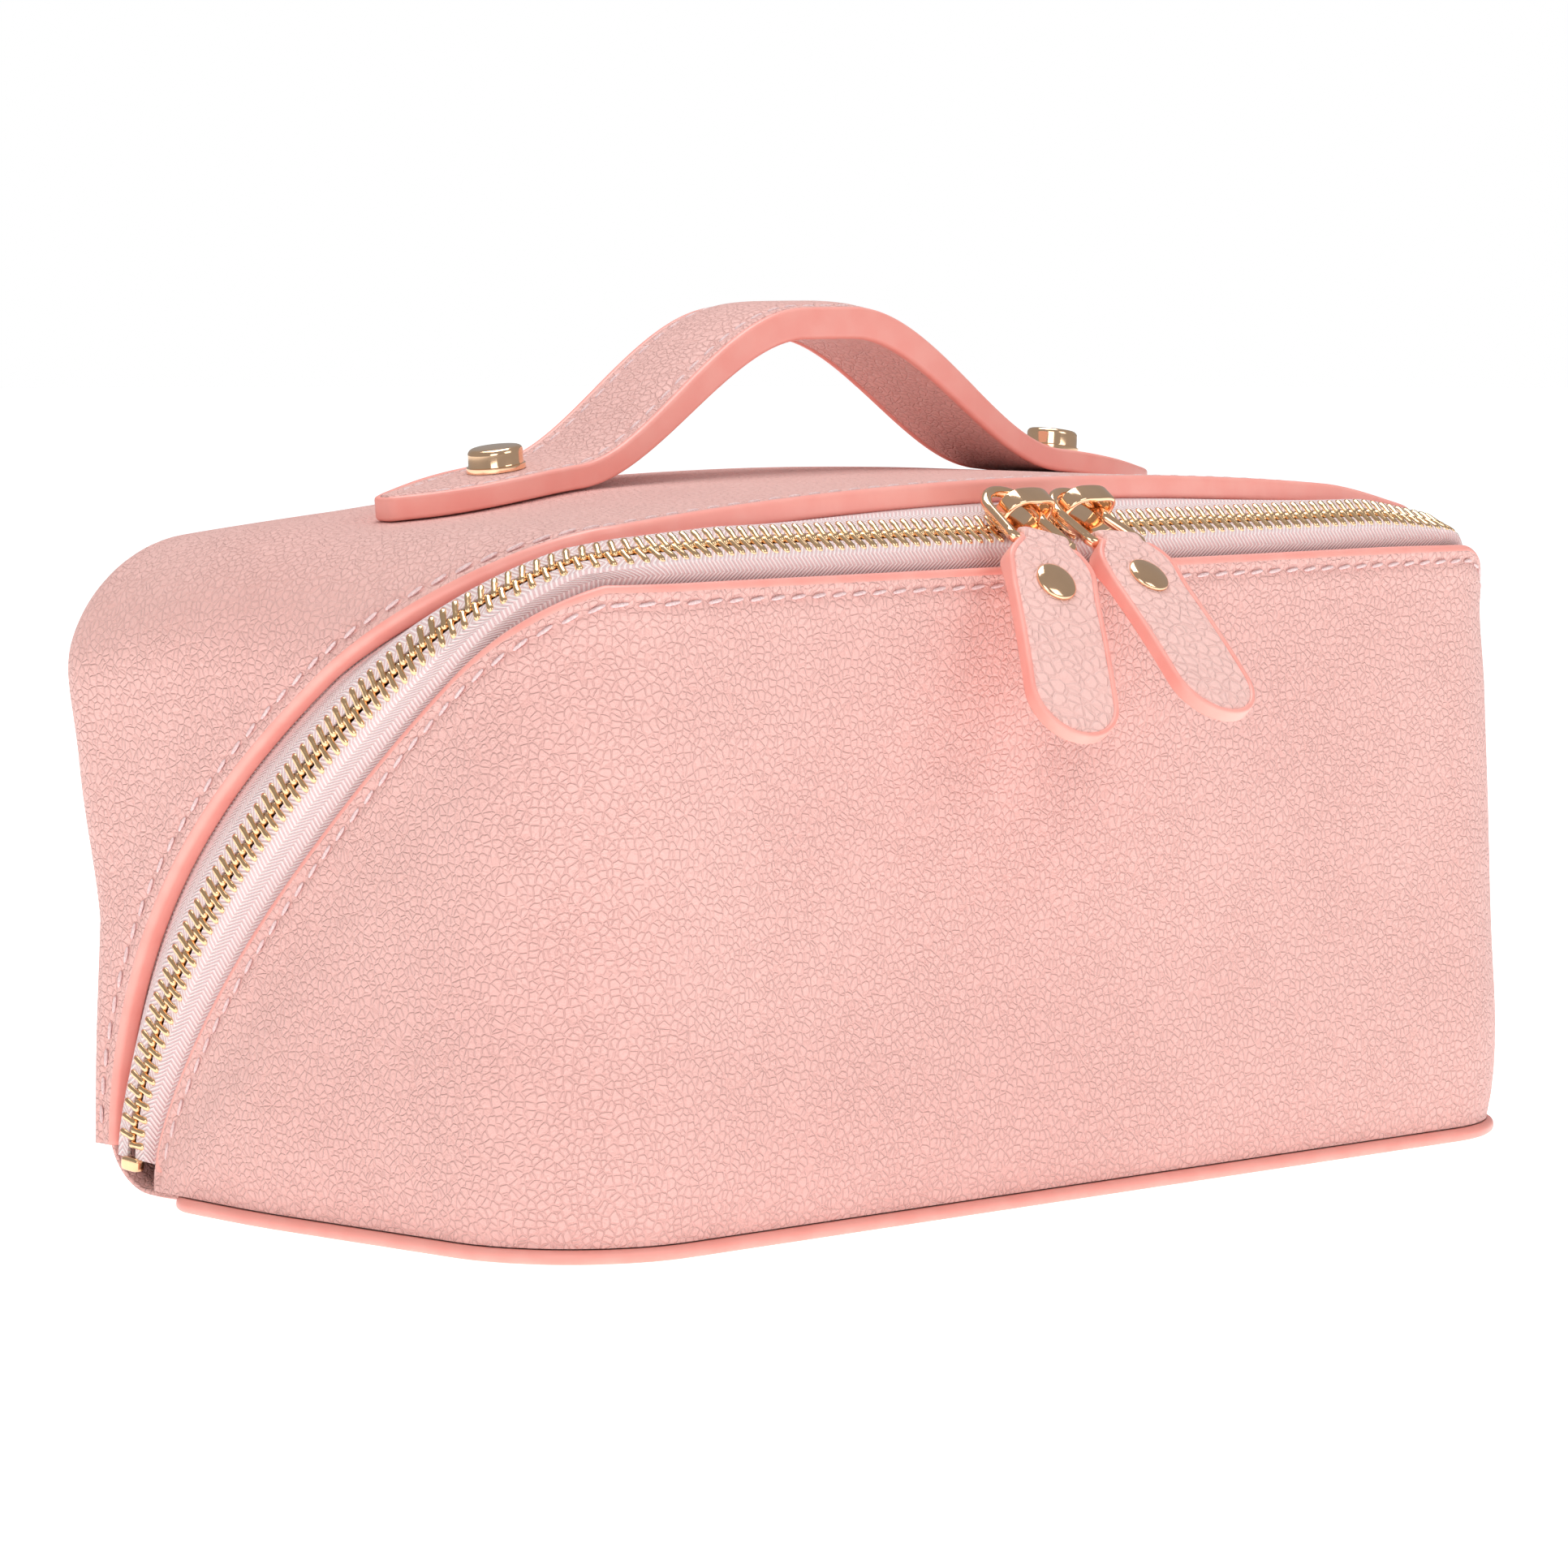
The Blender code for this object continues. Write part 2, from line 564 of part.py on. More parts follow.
def build_zip():
    path = zip_path()
    middle, across, out = path["middle"], path["across"], path["out"]
    half = ROW_THICKNESS / 2
    for name, toward in (("tray", -1.0), ("lid", 1.0)):
        build_tape(name, path)
        near, far = toward * CHAIN_HALF_SPLIT, toward * (CHAIN_HALF_SPLIT + ROW_WIDTH)
        rings = np.stack([middle + near * across - half * out, middle + far * across - half * out,
                          middle + far * across + half * out, middle + near * across + half * out], axis=1)
        loft(name + "_chain", rings, "gold")
    for side, at, sign in (("left", 0, -1.0), ("right", -1, 1.0)):
        end, run = middle[at], sign * path["along"][at]
        begin = end + run * GAP
        corner = [(-1.0, -1.0), (0.0, -1.0), (0.0, 1.0), (-1.0, 1.0)]
        rings = [[begin + run * reach + across[at] * w * (ROW_WIDTH + CHAIN_HALF_SPLIT) + out[at] * n * half
                  for w, n in corner] for reach in (0.0, STOP_LENGTH)]
        loft("zip_stop_" + side, rings, "gold")


# ---------------------------------------------------------------- sliders, rings and tabs


def slider_plan(sign, width):
    """Outline of a slider's plate: narrow at the closed end, wide where the rows part."""
    half = SLIDER_LENGTH / 2
    wide, narrow = width / 2, width / 2 * SLIDER_WAIST
    bevel = width * SLIDER_BEVEL
    shape = [(-half, -narrow + bevel / 2), (-half + bevel / 2, -narrow), (0.0, -narrow), (half - bevel, -wide),
             (half, -wide + bevel), (half, wide - bevel), (half - bevel, wide), (0.0, narrow),
             (-half + bevel / 2, narrow), (-half, narrow - bevel / 2)]
    return [(sign * x, y) for x, y in shape]


def build_slider(side, sign, matrix):
    """Two plates joined by a web between the rows, with a bridge over the ring."""
    inner = ROW_THICKNESS / 2 + GAP
    body = plate("slider_" + side, slider_plan(sign, SLIDER_WIDTH), inner, inner + SLIDER_PLATE,
                 "gold", matrix)
    under_width = 2 * (CHAIN_HALF_SPLIT + ROW_WIDTH)
    under = plate("under_plate_" + side, slider_plan(sign, under_width), -inner - SLIDER_PLATE, -inner,
                  "gold", matrix)
    web_half = CHAIN_HALF_SPLIT - WEB_PLAY
    reach = SLIDER_LENGTH / 2 - WEB_START
    web = [(sign * x, y) for x, y in ((WEB_START, -web_half), (reach, -web_half), (reach, web_half),
                                      (WEB_START, web_half))]
    web = plate("web_" + side, web, -inner - SLIDER_PLATE / 2, inner + SLIDER_PLATE / 2, "gold", matrix)
    foot = inner + SLIDER_PLATE / 2
    top = inner + SLIDER_PLATE + BRIDGE_RISE
    bend = BRIDGE_BEND
    half = [(BRIDGE_HALF, 0.0, foot)]
    for angle in np.linspace(0.0, math.pi / 2, 5):
        half.append((BRIDGE_HALF - bend + bend * math.cos(angle), 0.0, top - bend + bend * math.sin(angle)))
    bridge = [(-x, y, z) for x, y, z in half] + half[::-1]
    bridge = wire("bridge_" + side, bridge, BRIDGE_WIRE, matrix, closed=False)
    for tool in (under, web, bridge):
        CASE.objects.unlink(tool)
        CUTTERS.objects.link(tool)
        tool.hide_render = True
        tool.display_type = "WIRE"
        combine(body, tool, "UNION")
    return body


def wire(name, points, radius, matrix, closed):
    """A bent wire as a mesh, from a curve with a round bevel and filled ends."""
    path = bpy.data.curves.new(name, "CURVE")
    path.dimensions = "3D"
    path.bevel_depth = radius
    path.bevel_resolution = 3
    path.render_resolution_u = 0
    path.use_fill_caps = not closed
    line = path.splines.new("POLY")
    line.points.add(len(points) - 1)
    for point, place_at in zip(line.points, points):
        point.co = (*place_at, 1.0)
    line.use_cyclic_u = closed
    guide = bpy.data.objects.new(name + "_path", path)
    CUTTERS.objects.link(guide)
    view = bpy.context.evaluated_depsgraph_get()
    mesh = bpy.data.meshes.new_from_object(guide.evaluated_get(view))
    bpy.data.objects.remove(guide)
    shape = bmesh.new()
    shape.from_mesh(mesh)
    bmesh.ops.remove_doubles(shape, verts=shape.verts, dist=0.000001)
    bmesh.ops.recalc_face_normals(shape, faces=shape.faces)
    bpy.data.meshes.remove(mesh)
    return place(name, mesh_of(name, shape), "gold", matrix)


def ring_points():
    """The ring: a bar inside the tab, two legs, and a round end through the bridge."""
    corner = RING_CORNER
    low = corner - RING_REACH
    points = []
    for side, start in ((-1.0, math.pi), (1.0, 1.5 * math.pi)):
        for angle in np.linspace(start, start + math.pi / 2, 4):
            points.append((side * (RING_HALF - corner) + corner * math.cos(angle),
                           low + corner * math.sin(angle), 0.0))
    arc_low = -RING_ARC / 2
    for angle in np.linspace(math.radians(-8), math.radians(188), 16):
        points.append((RING_ARC_SHIFT + RING_ARC * math.cos(angle),
                       arc_low + RING_ARC * math.sin(angle), 0.0))
    return points


def tab_outline():
    """Plan of a pull tab: a narrow fold round the ring's bar, a straight body and a round end."""
    half = TAB_WIDTH / 2
    neck = RING_HALF - RING_WIRE - GAP * 4
    shoulder = TAB_SHOULDER
    start = -RING_REACH
    top = start + RING_WIRE + 3 * GAP
    points = [(-neck, top), (-neck, start - TAB_NECK)]
    for angle in np.linspace(math.pi / 2, math.pi, 5)[1:]:
        points.append((-half + shoulder + shoulder * math.cos(angle),
                       start - TAB_NECK - shoulder + shoulder * math.sin(angle)))
    centre = start - TAB_LENGTH + half
    for angle in np.linspace(math.pi, 2 * math.pi, 17):
        points.append((half * math.cos(angle), centre + half * math.sin(angle)))
    for angle in np.linspace(0.0, math.pi / 2, 5)[:-1]:
        points.append((half - shoulder + shoulder * math.cos(angle),
                       start - TAB_NECK - shoulder + shoulder * math.sin(angle)))
    points += [(neck, start - TAB_NECK), (neck, top)]
    return points


def build_pull(side, lean, fold, hub):
    """Ring, tab and tab rivet, hanging down the slope of the tape from one bridge."""
    matrix = hub @ Matrix.Rotation(lean, 4, "Z")
    wire("pull_ring_" + side, ring_points(), RING_WIRE, matrix, closed=True)
    bar_place = Matrix.Translation((0.0, -RING_REACH, 0.0))
    matrix = matrix @ bar_place @ Matrix.Rotation(fold, 4, "X") @ bar_place.inverted()
    half = TAB_THICKNESS / 2
    tab = plate("pull_tab_" + side, tab_outline(), -half, half, "leather", matrix)
    bar = matrix @ bar_place @ Matrix.Rotation(math.pi / 2, 4, "Y")
    combine(tab, cutter_cylinder("bar_bore_" + side, RING_WIRE + GAP, TAB_WIDTH, bar), "DIFFERENCE")
    rivet = matrix @ Matrix.Translation((0.0, -RING_REACH - TAB_RIVET_AT, 0.0))
    shank = SHANK_RADIUS
    combine(tab, cutter_cylinder("rivet_bore_" + side, shank + GAP, 4 * TAB_THICKNESS, rivet), "DIFFERENCE")
    face = half + GAP
    dome, cap = TAB_RIVET_DOME, TAB_RIVET_RADIUS
    profile = [(0.0, face + dome), (cap * 0.55, face + dome * 0.8), (cap * 0.9, face + dome * 0.35), (cap, face),
               (shank, face), (shank, -face), (cap, -face), (cap * 0.9, -face - dome * 0.35),
               (cap * 0.55, -face - dome * 0.7), (0.0, -face - dome * 0.7)]
    turned("tab_rivet_" + side, profile, "gold", rivet, steps=20)


def build_sliders():
    origin, along, across, out = chain_frame()
    turn = Matrix((along, across, out)).transposed().to_4x4()
    lift = ROW_THICKNESS / 2 + GAP + SLIDER_PLATE + BRIDGE_RISE / 2
    for number, (side, (lean, fold)) in enumerate(PULLS.items()):
        at = Vector((LEFT_SLIDER_X + number * SLIDER_SPACING, origin.y, origin.z))
        matrix = Matrix.Translation(at) @ turn
        build_slider(side, 1.0 if side == "left" else -1.0, matrix)
        build_pull(side, lean, fold, matrix @ Matrix.Translation((0.0, 0.0, lift)))


# ---------------------------------------------------------------- handle


def strap_width(x):
    """The strap is even along its length and comes to a pointed arch at each end."""
    left = np.clip((HANDLE_HALF - np.abs(x)) / HANDLE_POINT, 0.0, 1.0)
    return HANDLE_TIP + (HANDLE_WIDTH - HANDLE_TIP) * np.sin(left * math.pi / 2) ** 0.8


def strap_lift(x):
    """Share of the arch's rise: level in the middle, an S-shaped slope down to each foot."""
    share = np.clip((HANDLE_FOOT - np.abs(x)) / (HANDLE_FOOT - HANDLE_LEVEL), 0.0, 1.0)
    return share * share * (3.0 - 2.0 * share)


def build_handle():
    x = np.linspace(-HANDLE_HALF, HANDLE_HALF, 97)
    lift = strap_lift(x)
    low = crown_z(x) + GAP + HANDLE_RISE * lift
    slope = np.gradient(low, x)
    normal = unit(np.column_stack((-slope, np.ones(len(x)))))
    thick = HANDLE_END_THICKNESS + (HANDLE_THICKNESS - HANDLE_END_THICKNESS) * lift
    half = strap_width(x) / 2
    rings = []
    for k in range(len(x)):
        top_x, top_z = x[k] + normal[k, 0] * thick[k], low[k] + normal[k, 1] * thick[k]
        rings.append([(x[k], HANDLE_BACK - half[k], low[k]), (x[k], HANDLE_BACK + half[k], low[k]),
                      (top_x, HANDLE_BACK + half[k], top_z), (top_x, HANDLE_BACK - half[k], top_z)])
    strap = loft("handle_strap", rings, "leather")
    names = {thing.name: thing for thing in CASE.objects}
    strap_top = GAP + HANDLE_END_THICKNESS
    washer_top = -(WALL + BOARD + LINING + 3 * GAP)
    for side, sign in (("left", -1.0), ("right", 1.0)):
        tilt = math.asin(sign * RIVET_AT / CROWN_RADIUS)
        axis = Matrix.Translation((sign * RIVET_AT, HANDLE_BACK, float(crown_z(RIVET_AT)))) \
            @ Matrix.Rotation(tilt, 4, "Y")
        head = strap_top + GAP
        crown = head + RIVET_HEIGHT
        profile = [(0.0, crown), (RIVET_RADIUS * 0.6, crown - RIVET_ROUND * 0.1),
                   (RIVET_RADIUS * 0.88, crown - RIVET_ROUND / 2), (RIVET_RADIUS * 0.94, crown - RIVET_ROUND),
                   (RIVET_RADIUS * 0.94, head + RIVET_FOOT * 1.5), (RIVET_RADIUS, head + RIVET_FOOT),
                   (RIVET_RADIUS, head), (SHANK_RADIUS, head), (SHANK_RADIUS, washer_top - SHANK_END),
                   (0.0, washer_top - SHANK_END)]
        turned("handle_rivet_" + side, profile, "gold", axis)
        bore, washer_low = SHANK_RADIUS + GAP, washer_top - WASHER_THICKNESS
        ring = [(WASHER_RADIUS, washer_top), (WASHER_RADIUS, washer_low), (bore, washer_low),
                (bore, washer_top), (WASHER_RADIUS, washer_top)]
        turned("handle_washer_" + side, ring, "gold", axis)
        hole = cutter_cylinder("rivet_hole_" + side, bore, BORE_LENGTH, axis)
        for target in (strap, names["lid_shell"], names["lid_board"], names["lid_lining"]):
            combine(target, hole, "DIFFERENCE")


clear_scene()
CASE = collection("train_case")
CUTTERS = collection("cutters")
build_tray()
build_base()
build_hinge()
build_lid()
build_zip()
build_sliders()
build_handle()
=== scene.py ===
# %% [markdown]
# # A soft leather train case
# The case is two leather shells, a tray and a lid, that meet in a slanting zip and turn on a leather bend at
# the bottom of the back. A flat strap with two metal rivets carries it, and two pullers hang from the zip.
# The plain model of every part is loaded first. It gives the sizes and the moving bodies, and each visible
# piece below is made around it, at full detail, in metres, with +Z up and -Y to the front.

# %% Load the frame
import math

import bmesh
import bpy
import numpy as np
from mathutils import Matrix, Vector


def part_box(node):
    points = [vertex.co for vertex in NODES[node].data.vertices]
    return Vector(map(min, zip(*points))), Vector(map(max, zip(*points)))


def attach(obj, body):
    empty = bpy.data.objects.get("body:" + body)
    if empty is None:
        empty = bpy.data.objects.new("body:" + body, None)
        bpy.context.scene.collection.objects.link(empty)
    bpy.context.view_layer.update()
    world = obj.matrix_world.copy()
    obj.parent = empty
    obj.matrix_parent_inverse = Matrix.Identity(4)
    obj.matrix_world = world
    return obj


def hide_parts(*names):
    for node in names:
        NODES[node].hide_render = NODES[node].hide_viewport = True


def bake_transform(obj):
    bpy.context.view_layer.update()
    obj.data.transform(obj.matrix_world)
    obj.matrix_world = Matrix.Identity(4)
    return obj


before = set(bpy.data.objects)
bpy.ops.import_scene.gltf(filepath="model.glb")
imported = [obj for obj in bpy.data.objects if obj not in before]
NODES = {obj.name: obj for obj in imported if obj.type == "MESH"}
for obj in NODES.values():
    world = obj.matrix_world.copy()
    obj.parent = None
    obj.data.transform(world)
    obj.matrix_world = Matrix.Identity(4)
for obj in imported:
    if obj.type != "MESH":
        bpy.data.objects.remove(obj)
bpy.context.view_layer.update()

print("parts loaded:", len(NODES))

# %% [markdown]
# The overall sizes are read from the boxes of the plain parts. The curves of the case follow a few driving
# values, such as the radius of each rounded corner, which are the same here as in the plain model.

# %% Sizes of the case
MM = 0.001
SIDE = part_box("tray_shell")[1].x                    # half of the length
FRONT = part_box("tray_shell")[0].y
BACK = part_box("back_panel")[1].y
TRAY_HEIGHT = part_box("tray_shell")[1].z
LID_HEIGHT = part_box("lid_shell")[1].z
BASE_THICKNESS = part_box("base_panel")[1].z
CROWN_RADIUS = 950 * MM
END_TOP_RADIUS = 25 * MM
FRONT_CORNER_RADIUS = 26 * MM
WALL, LINING, BOARD, GAP, TAPE = 3 * MM, 1 * MM, 1.5 * MM, 0.4 * MM, 0.6 * MM
CROWN_CENTRE = LID_HEIGHT - CROWN_RADIUS
CORNER_X = SIDE - END_TOP_RADIUS
CORNER_Z = CROWN_CENTRE + math.sqrt((CROWN_RADIUS - END_TOP_RADIUS) ** 2 - CORNER_X ** 2)
CORNER_TOP = CORNER_Z + END_TOP_RADIUS
TAPE_INSET = WALL + 2 * GAP + TAPE / 2
FLOOR_TOP = BASE_THICKNESS + BOARD + LINING + 3 * GAP
print("case:", round(2 * SIDE / MM), "by", round((BACK - FRONT) / MM), "by", round(LID_HEIGHT / MM), "mm")

# %% [markdown]
# Seen from the side, both leather edges of the zip opening are cubic curves. They start low at the hinge and
# sweep up to the straight front run.

# %% Side curves of the zip opening


def edge_curve(foot, top, rise, reach, fall, count=800):
    """Side view (y, z): a cubic curve, straight up from the foot and at a shallow slope at the top."""
    span_y, span_z = foot[0] - top[0], top[1] - foot[1]
    bends = [foot, (foot[0], foot[1] + rise * span_z), (top[0] + reach * span_y, top[1] - fall * span_z), top]
    p0, p1, p2, p3 = (np.array(point) for point in bends)
    t = np.linspace(0.0, 1.0, count)[:, None]
    return (1 - t) ** 3 * p0 + 3 * (1 - t) ** 2 * t * p1 + 3 * (1 - t) * t ** 2 * p2 + t ** 3 * p3


LID_FOOT = (BACK - 6.5 * MM, 9 * MM)
TRAY_FOOT = (BACK - 18 * MM, 6 * MM)
LID_FRONT = FRONT + 13 * MM
LID_EDGE = edge_curve(LID_FOOT, (LID_FRONT, CORNER_TOP), 0.36, 0.556, 0.244)
TRAY_EDGE = edge_curve(TRAY_FOOT, (FRONT + 4 * MM, TRAY_HEIGHT), 0.18, 0.325, 0.158)


def lid_edge_y(z):
    return np.interp(z, LID_EDGE[:, 1], LID_EDGE[:, 0])


def tray_edge_z(y):
    return np.interp(y, TRAY_EDGE[::-1, 0], TRAY_EDGE[::-1, 1])


def crown_z(x):
    """The lid's top is a shallow arc along X."""
    return CROWN_CENTRE + np.sqrt(CROWN_RADIUS ** 2 - np.asarray(x) ** 2)


print("zip opening rises from", round(TRAY_FOOT[1] / MM), "to", round(TRAY_HEIGHT / MM), "mm")

# %% [markdown]
# The lid's section is an upright end, a round corner and the shallow crown. The tray's plan is a straight
# end, a round corner and the straight front. Each line is mirrored, so it runs from the left foot to the
# right one.

# %% Section of the lid and plan of the tray


def unit(vectors):
    return vectors / np.maximum(np.linalg.norm(vectors, axis=-1, keepdims=True), 1e-12)


def mirrored(half, flip=(-1, 1)):
    """A left half with its mirror image, so that the line runs from end to end."""
    return np.vstack((half, half[-2::-1] * flip))


def arch(inset=0.0, rise=100, corner=44, crown=110):
    """Section (x, z) of the lid: up the left end, round the corner and along the crown, then mirrored."""
    lean = math.asin(CORNER_X / (CROWN_RADIUS - END_TOP_RADIUS))
    climb = np.linspace(LID_FOOT[1], CORNER_Z, rise, endpoint=False)
    upright = np.column_stack((np.full(rise, inset - SIDE), climb))
    turn = np.linspace(math.pi, math.pi / 2 + lean, corner, endpoint=False)
    radius = END_TOP_RADIUS - inset
    bend = np.column_stack((-CORNER_X + radius * np.cos(turn), CORNER_Z + radius * np.sin(turn)))
    sweep = np.linspace(-lean, 0.0, crown)
    radius = CROWN_RADIUS - inset
    top = np.column_stack((radius * np.sin(sweep), CROWN_CENTRE + radius * np.cos(sweep)))
    return mirrored(np.vstack((upright, bend, top)))


def outline(inset=0.0, end=90, corner=52, front=118):
    """Plan (x, y) of the tray: along the left end, round the corner and along the front, then mirrored."""
    radius = FRONT_CORNER_RADIUS - inset
    centre_x, centre_y = SIDE - FRONT_CORNER_RADIUS, FRONT + FRONT_CORNER_RADIUS
    depth = np.linspace(TRAY_FOOT[0], centre_y, end, endpoint=False)
    side = np.column_stack((np.full(end, inset - SIDE), depth))
    turn = np.linspace(math.pi, 1.5 * math.pi, corner, endpoint=False)
    bend = np.column_stack((-centre_x + radius * np.cos(turn), centre_y + radius * np.sin(turn)))
    run = np.column_stack((np.linspace(-centre_x, 0.0, front), np.full(front, FRONT + inset)))
    return mirrored(np.vstack((side, bend, run)))


def running_length(points):
    """Distance along a line of points, from its first point."""
    return np.concatenate(([0.0], np.cumsum(np.linalg.norm(np.diff(points, axis=0), axis=1))))


def line_normals(line):
    """Unit normals on the left of a plane line: out of the lid's section, and into the tray's plan."""
    along = unit(np.gradient(line, axis=0))
    return np.column_stack((-along[:, 1], along[:, 0]))


print("lid section:", round(running_length(arch())[-1] / MM), "mm long")

# %% [markdown]
# A soft case is never quite even. One end is softer than the other, so its front corners sink and draw in.
# Both back corners draw in at their foot, and the lid gives a little under the ends of the handle. One smooth
# move of the points does all of this. Every piece of the tray and the lid goes through the same move, so
# pieces that touch stay together. It starts beyond the run of the sliders, which stand where they are.

# %% The softer end


def smooth(value, low, high):
    """0 below low, 1 above high, and an S-curve between."""
    t = np.clip((np.asarray(value) - low) / (high - low), 0.0, 1.0)
    return t * t * (3.0 - 2.0 * t)


SAG, CORNER_SAG, DRAW = 3.6 * MM, 7.5 * MM, 3.2 * MM
FOOT_DRAW, END_SINK = 4.2 * MM, 1.9 * MM
HANDLE_BACK = 12 * MM


def softened(points):
    """The lid's front right corner sinks by SAG, the tray's by CORNER_SAG, and the right walls draw in by
    DRAW. Both back corners draw in by FOOT_DRAW, and the lid sinks by END_SINK at the handle's ends. Each
    move is an S-curve along one axis times others along the other two."""
    p = np.array(points, float).reshape(-1, 3)
    x, y, z = p.T.copy()
    back_foot = smooth(y, 5 * MM, 58 * MM) * (1 - smooth(z, 12 * MM, 88 * MM))
    p[:, 0] -= np.sign(x) * FOOT_DRAW * smooth(np.abs(x), 60 * MM, SIDE) * back_foot
    by_handle = np.exp(-((y - HANDLE_BACK) / (24 * MM)) ** 2) * smooth(z, 100 * MM, 115 * MM)
    p[:, 2] -= END_SINK * smooth(np.abs(x), 56 * MM, 90 * MM) * by_handle
    lid_corner = smooth(-y, -10 * MM, 50 * MM) * smooth(z, 104 * MM, 118 * MM)
    p[:, 2] -= SAG * smooth(x, 76 * MM, 116 * MM) * lid_corner
    tray_corner = smooth(-y, 15 * MM, 55 * MM) * smooth(z, 84 * MM, 107 * MM)
    p[:, 2] -= CORNER_SAG * smooth(x, 101 * MM, 124 * MM) * tray_corner
    p[:, 0] -= DRAW * smooth(x, 60 * MM, SIDE) * smooth(z, 35 * MM, 100 * MM)
    return p


print("the soft corner sinks", CORNER_SAG / MM, "mm")

# %% [markdown]
# A mesh is made from a grid of points. The helper below links the grid into four-sided faces, closes it on
# itself where asked, and closes an end that is a ring with a fan of triangles, so that the piece is one
# closed skin with its faces pointing outwards.

# %% Meshes from grids


def quads(rows, columns, wrap_rows=False, wrap_columns=False):
    """Corner numbers of the faces of a grid whose points are stored row by row."""
    i = np.arange(rows if wrap_rows else rows - 1)[:, None]
    j = np.arange(columns if wrap_columns else columns - 1)[None, :]
    i2, j2 = (i + 1) % rows, (j + 1) % columns
    corners = [i * columns + j, i * columns + j2, i2 * columns + j2, i2 * columns + j]
    return np.stack(corners, -1).reshape(-1, 4)


def shown(name, points, faces, finish, body, slot=None, replaces=(), uv=None, sharp=None):
    """One finished piece: its mesh, material, moving body and the plain parts that it stands for."""
    mesh = bpy.data.meshes.new(name)
    if body in ("tray", "lid"):
        points = softened(points)
    mesh.from_pydata(np.asarray(points, float).reshape(-1, 3).tolist(), [], [list(face) for face in faces])
    if uv is not None:
        layer = mesh.uv_layers.new(name="run")
        corner = np.zeros(len(mesh.loops), np.int32)
        mesh.loops.foreach_get("vertex_index", corner)
        layer.data.foreach_set("uv", np.asarray(uv, np.float32).reshape(-1, 2)[corner].ravel())
    mesh.shade_smooth()
    if sharp:
        mesh.set_sharp_from_angle(angle=math.radians(sharp))
    mesh.materials.append(finish)
    made = bpy.data.objects.new(name, mesh)
    bpy.context.scene.collection.objects.link(made)
    if body:
        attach(made, body)
    if replaces:
        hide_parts(*replaces)
    print(name, len(mesh.vertices), "points")
    return made


def facing_out(made):
    """Turns the faces of a closed piece outwards."""
    shape = bmesh.new()
    shape.from_mesh(made.data)
    bmesh.ops.recalc_face_normals(shape, faces=shape.faces)
    shape.to_mesh(made.data)
    shape.free()
    return made


def rings_piece(name, rings, finish, body, closed=False, **facts):
    """Rings of points joined in order. An open run of rings ends in a fan round each end's middle."""
    rings = np.asarray(rings, float)
    count, around = rings.shape[:2]
    faces = quads(count, around, wrap_rows=closed, wrap_columns=True).tolist()
    points = rings.reshape(-1, 3)
    if not closed:
        points = np.vstack((points, rings[0].mean(0), rings[-1].mean(0)))
        first, last, k = count * around, count * around + 1, (count - 1) * around
        faces += [[first, (j + 1) % around, j] for j in range(around)]
        faces += [[last, k + j, k + (j + 1) % around] for j in range(around)]
    return facing_out(shown(name, points, faces, finish, body, **facts))


def along_path(path, up, section, closed=False):
    """Rings for a section (across, up) carried along a path, with the given up direction at each point."""
    path = np.asarray(path, float)
    if closed:
        tangent = unit(np.roll(path, -1, axis=0) - np.roll(path, 1, axis=0))
    else:
        tangent = unit(np.gradient(path, axis=0))
    side = unit(np.cross(tangent, np.broadcast_to(up, path.shape)))
    rise = np.cross(side, tangent)
    section = np.asarray(section, float)
    if section.ndim == 2:
        section = np.broadcast_to(section, (len(path), *section.shape))
    return path[:, None] + section[..., :1] * side[:, None] + section[..., 1:] * rise[:, None]


def rounded_section(width, height, radius, steps=5):
    """A rectangle round (0, 0) with quarter circles at its corners."""
    radius = min(radius, width / 2 - 1e-6, height / 2 - 1e-6)
    a = np.linspace(0.0, math.pi / 2, steps)
    corners = [(1, 1, 0.0), (-1, 1, 0.5), (-1, -1, 1.0), (1, -1, 1.5)]
    return np.vstack([np.column_stack((sx * (width / 2 - radius) + radius * np.cos(a + turn * math.pi),
                                       sy * (height / 2 - radius) + radius * np.sin(a + turn * math.pi)))
                      for sx, sy, turn in corners])


def circle(radius, steps=16):
    a = np.linspace(0.0, 2 * math.pi, steps, endpoint=False)
    return np.column_stack((radius * np.cos(a), radius * np.sin(a)))


print("grid helpers ready")

# %% [markdown]
# A material is a small graph of nodes. Here the graph is written as sums: a Signal wraps one socket, and
# adding, subtracting, multiplying or raising signals to a power adds the Math nodes. Every other node comes
# from one method.

# %% Shader sums


def tone(red, green, blue):
    """A colour as seen on a screen, 0 to 255, turned into light."""
    return tuple(v / 12.92 if v <= 0.04045 else ((v + 0.055) / 1.055) ** 2.4
                 for v in (red / 255, green / 255, blue / 255)) + (1.0,)


class Signal:
    """One output of a node, which adds and multiplies like a number."""

    def __init__(self, finish, socket):
        self.finish, self.socket = finish, socket

    def math(self, operation, *values, clamp=False):
        return self.finish.node("ShaderNodeMath", {"operation": operation, "use_clamp": clamp}, self, *values)

    def __add__(self, other):
        return self.math("ADD", other)

    def __mul__(self, other):
        return self.math("MULTIPLY", other)

    def __sub__(self, other):
        return self.math("SUBTRACT", other)

    def __rsub__(self, other):
        return self.finish.node("ShaderNodeMath", {"operation": "SUBTRACT"}, other, self)

    def __pow__(self, other):
        return self.math("POWER", other)

    __radd__, __rmul__ = __add__, __mul__

    def ramp(self, low, high, to_low=0.0, to_high=1.0):
        """Rises smoothly from to_low to to_high as the signal goes from low to high."""
        return self.finish.node("ShaderNodeMapRange", {"interpolation_type": "SMOOTHSTEP"},
                                self, low, high, to_low, to_high)


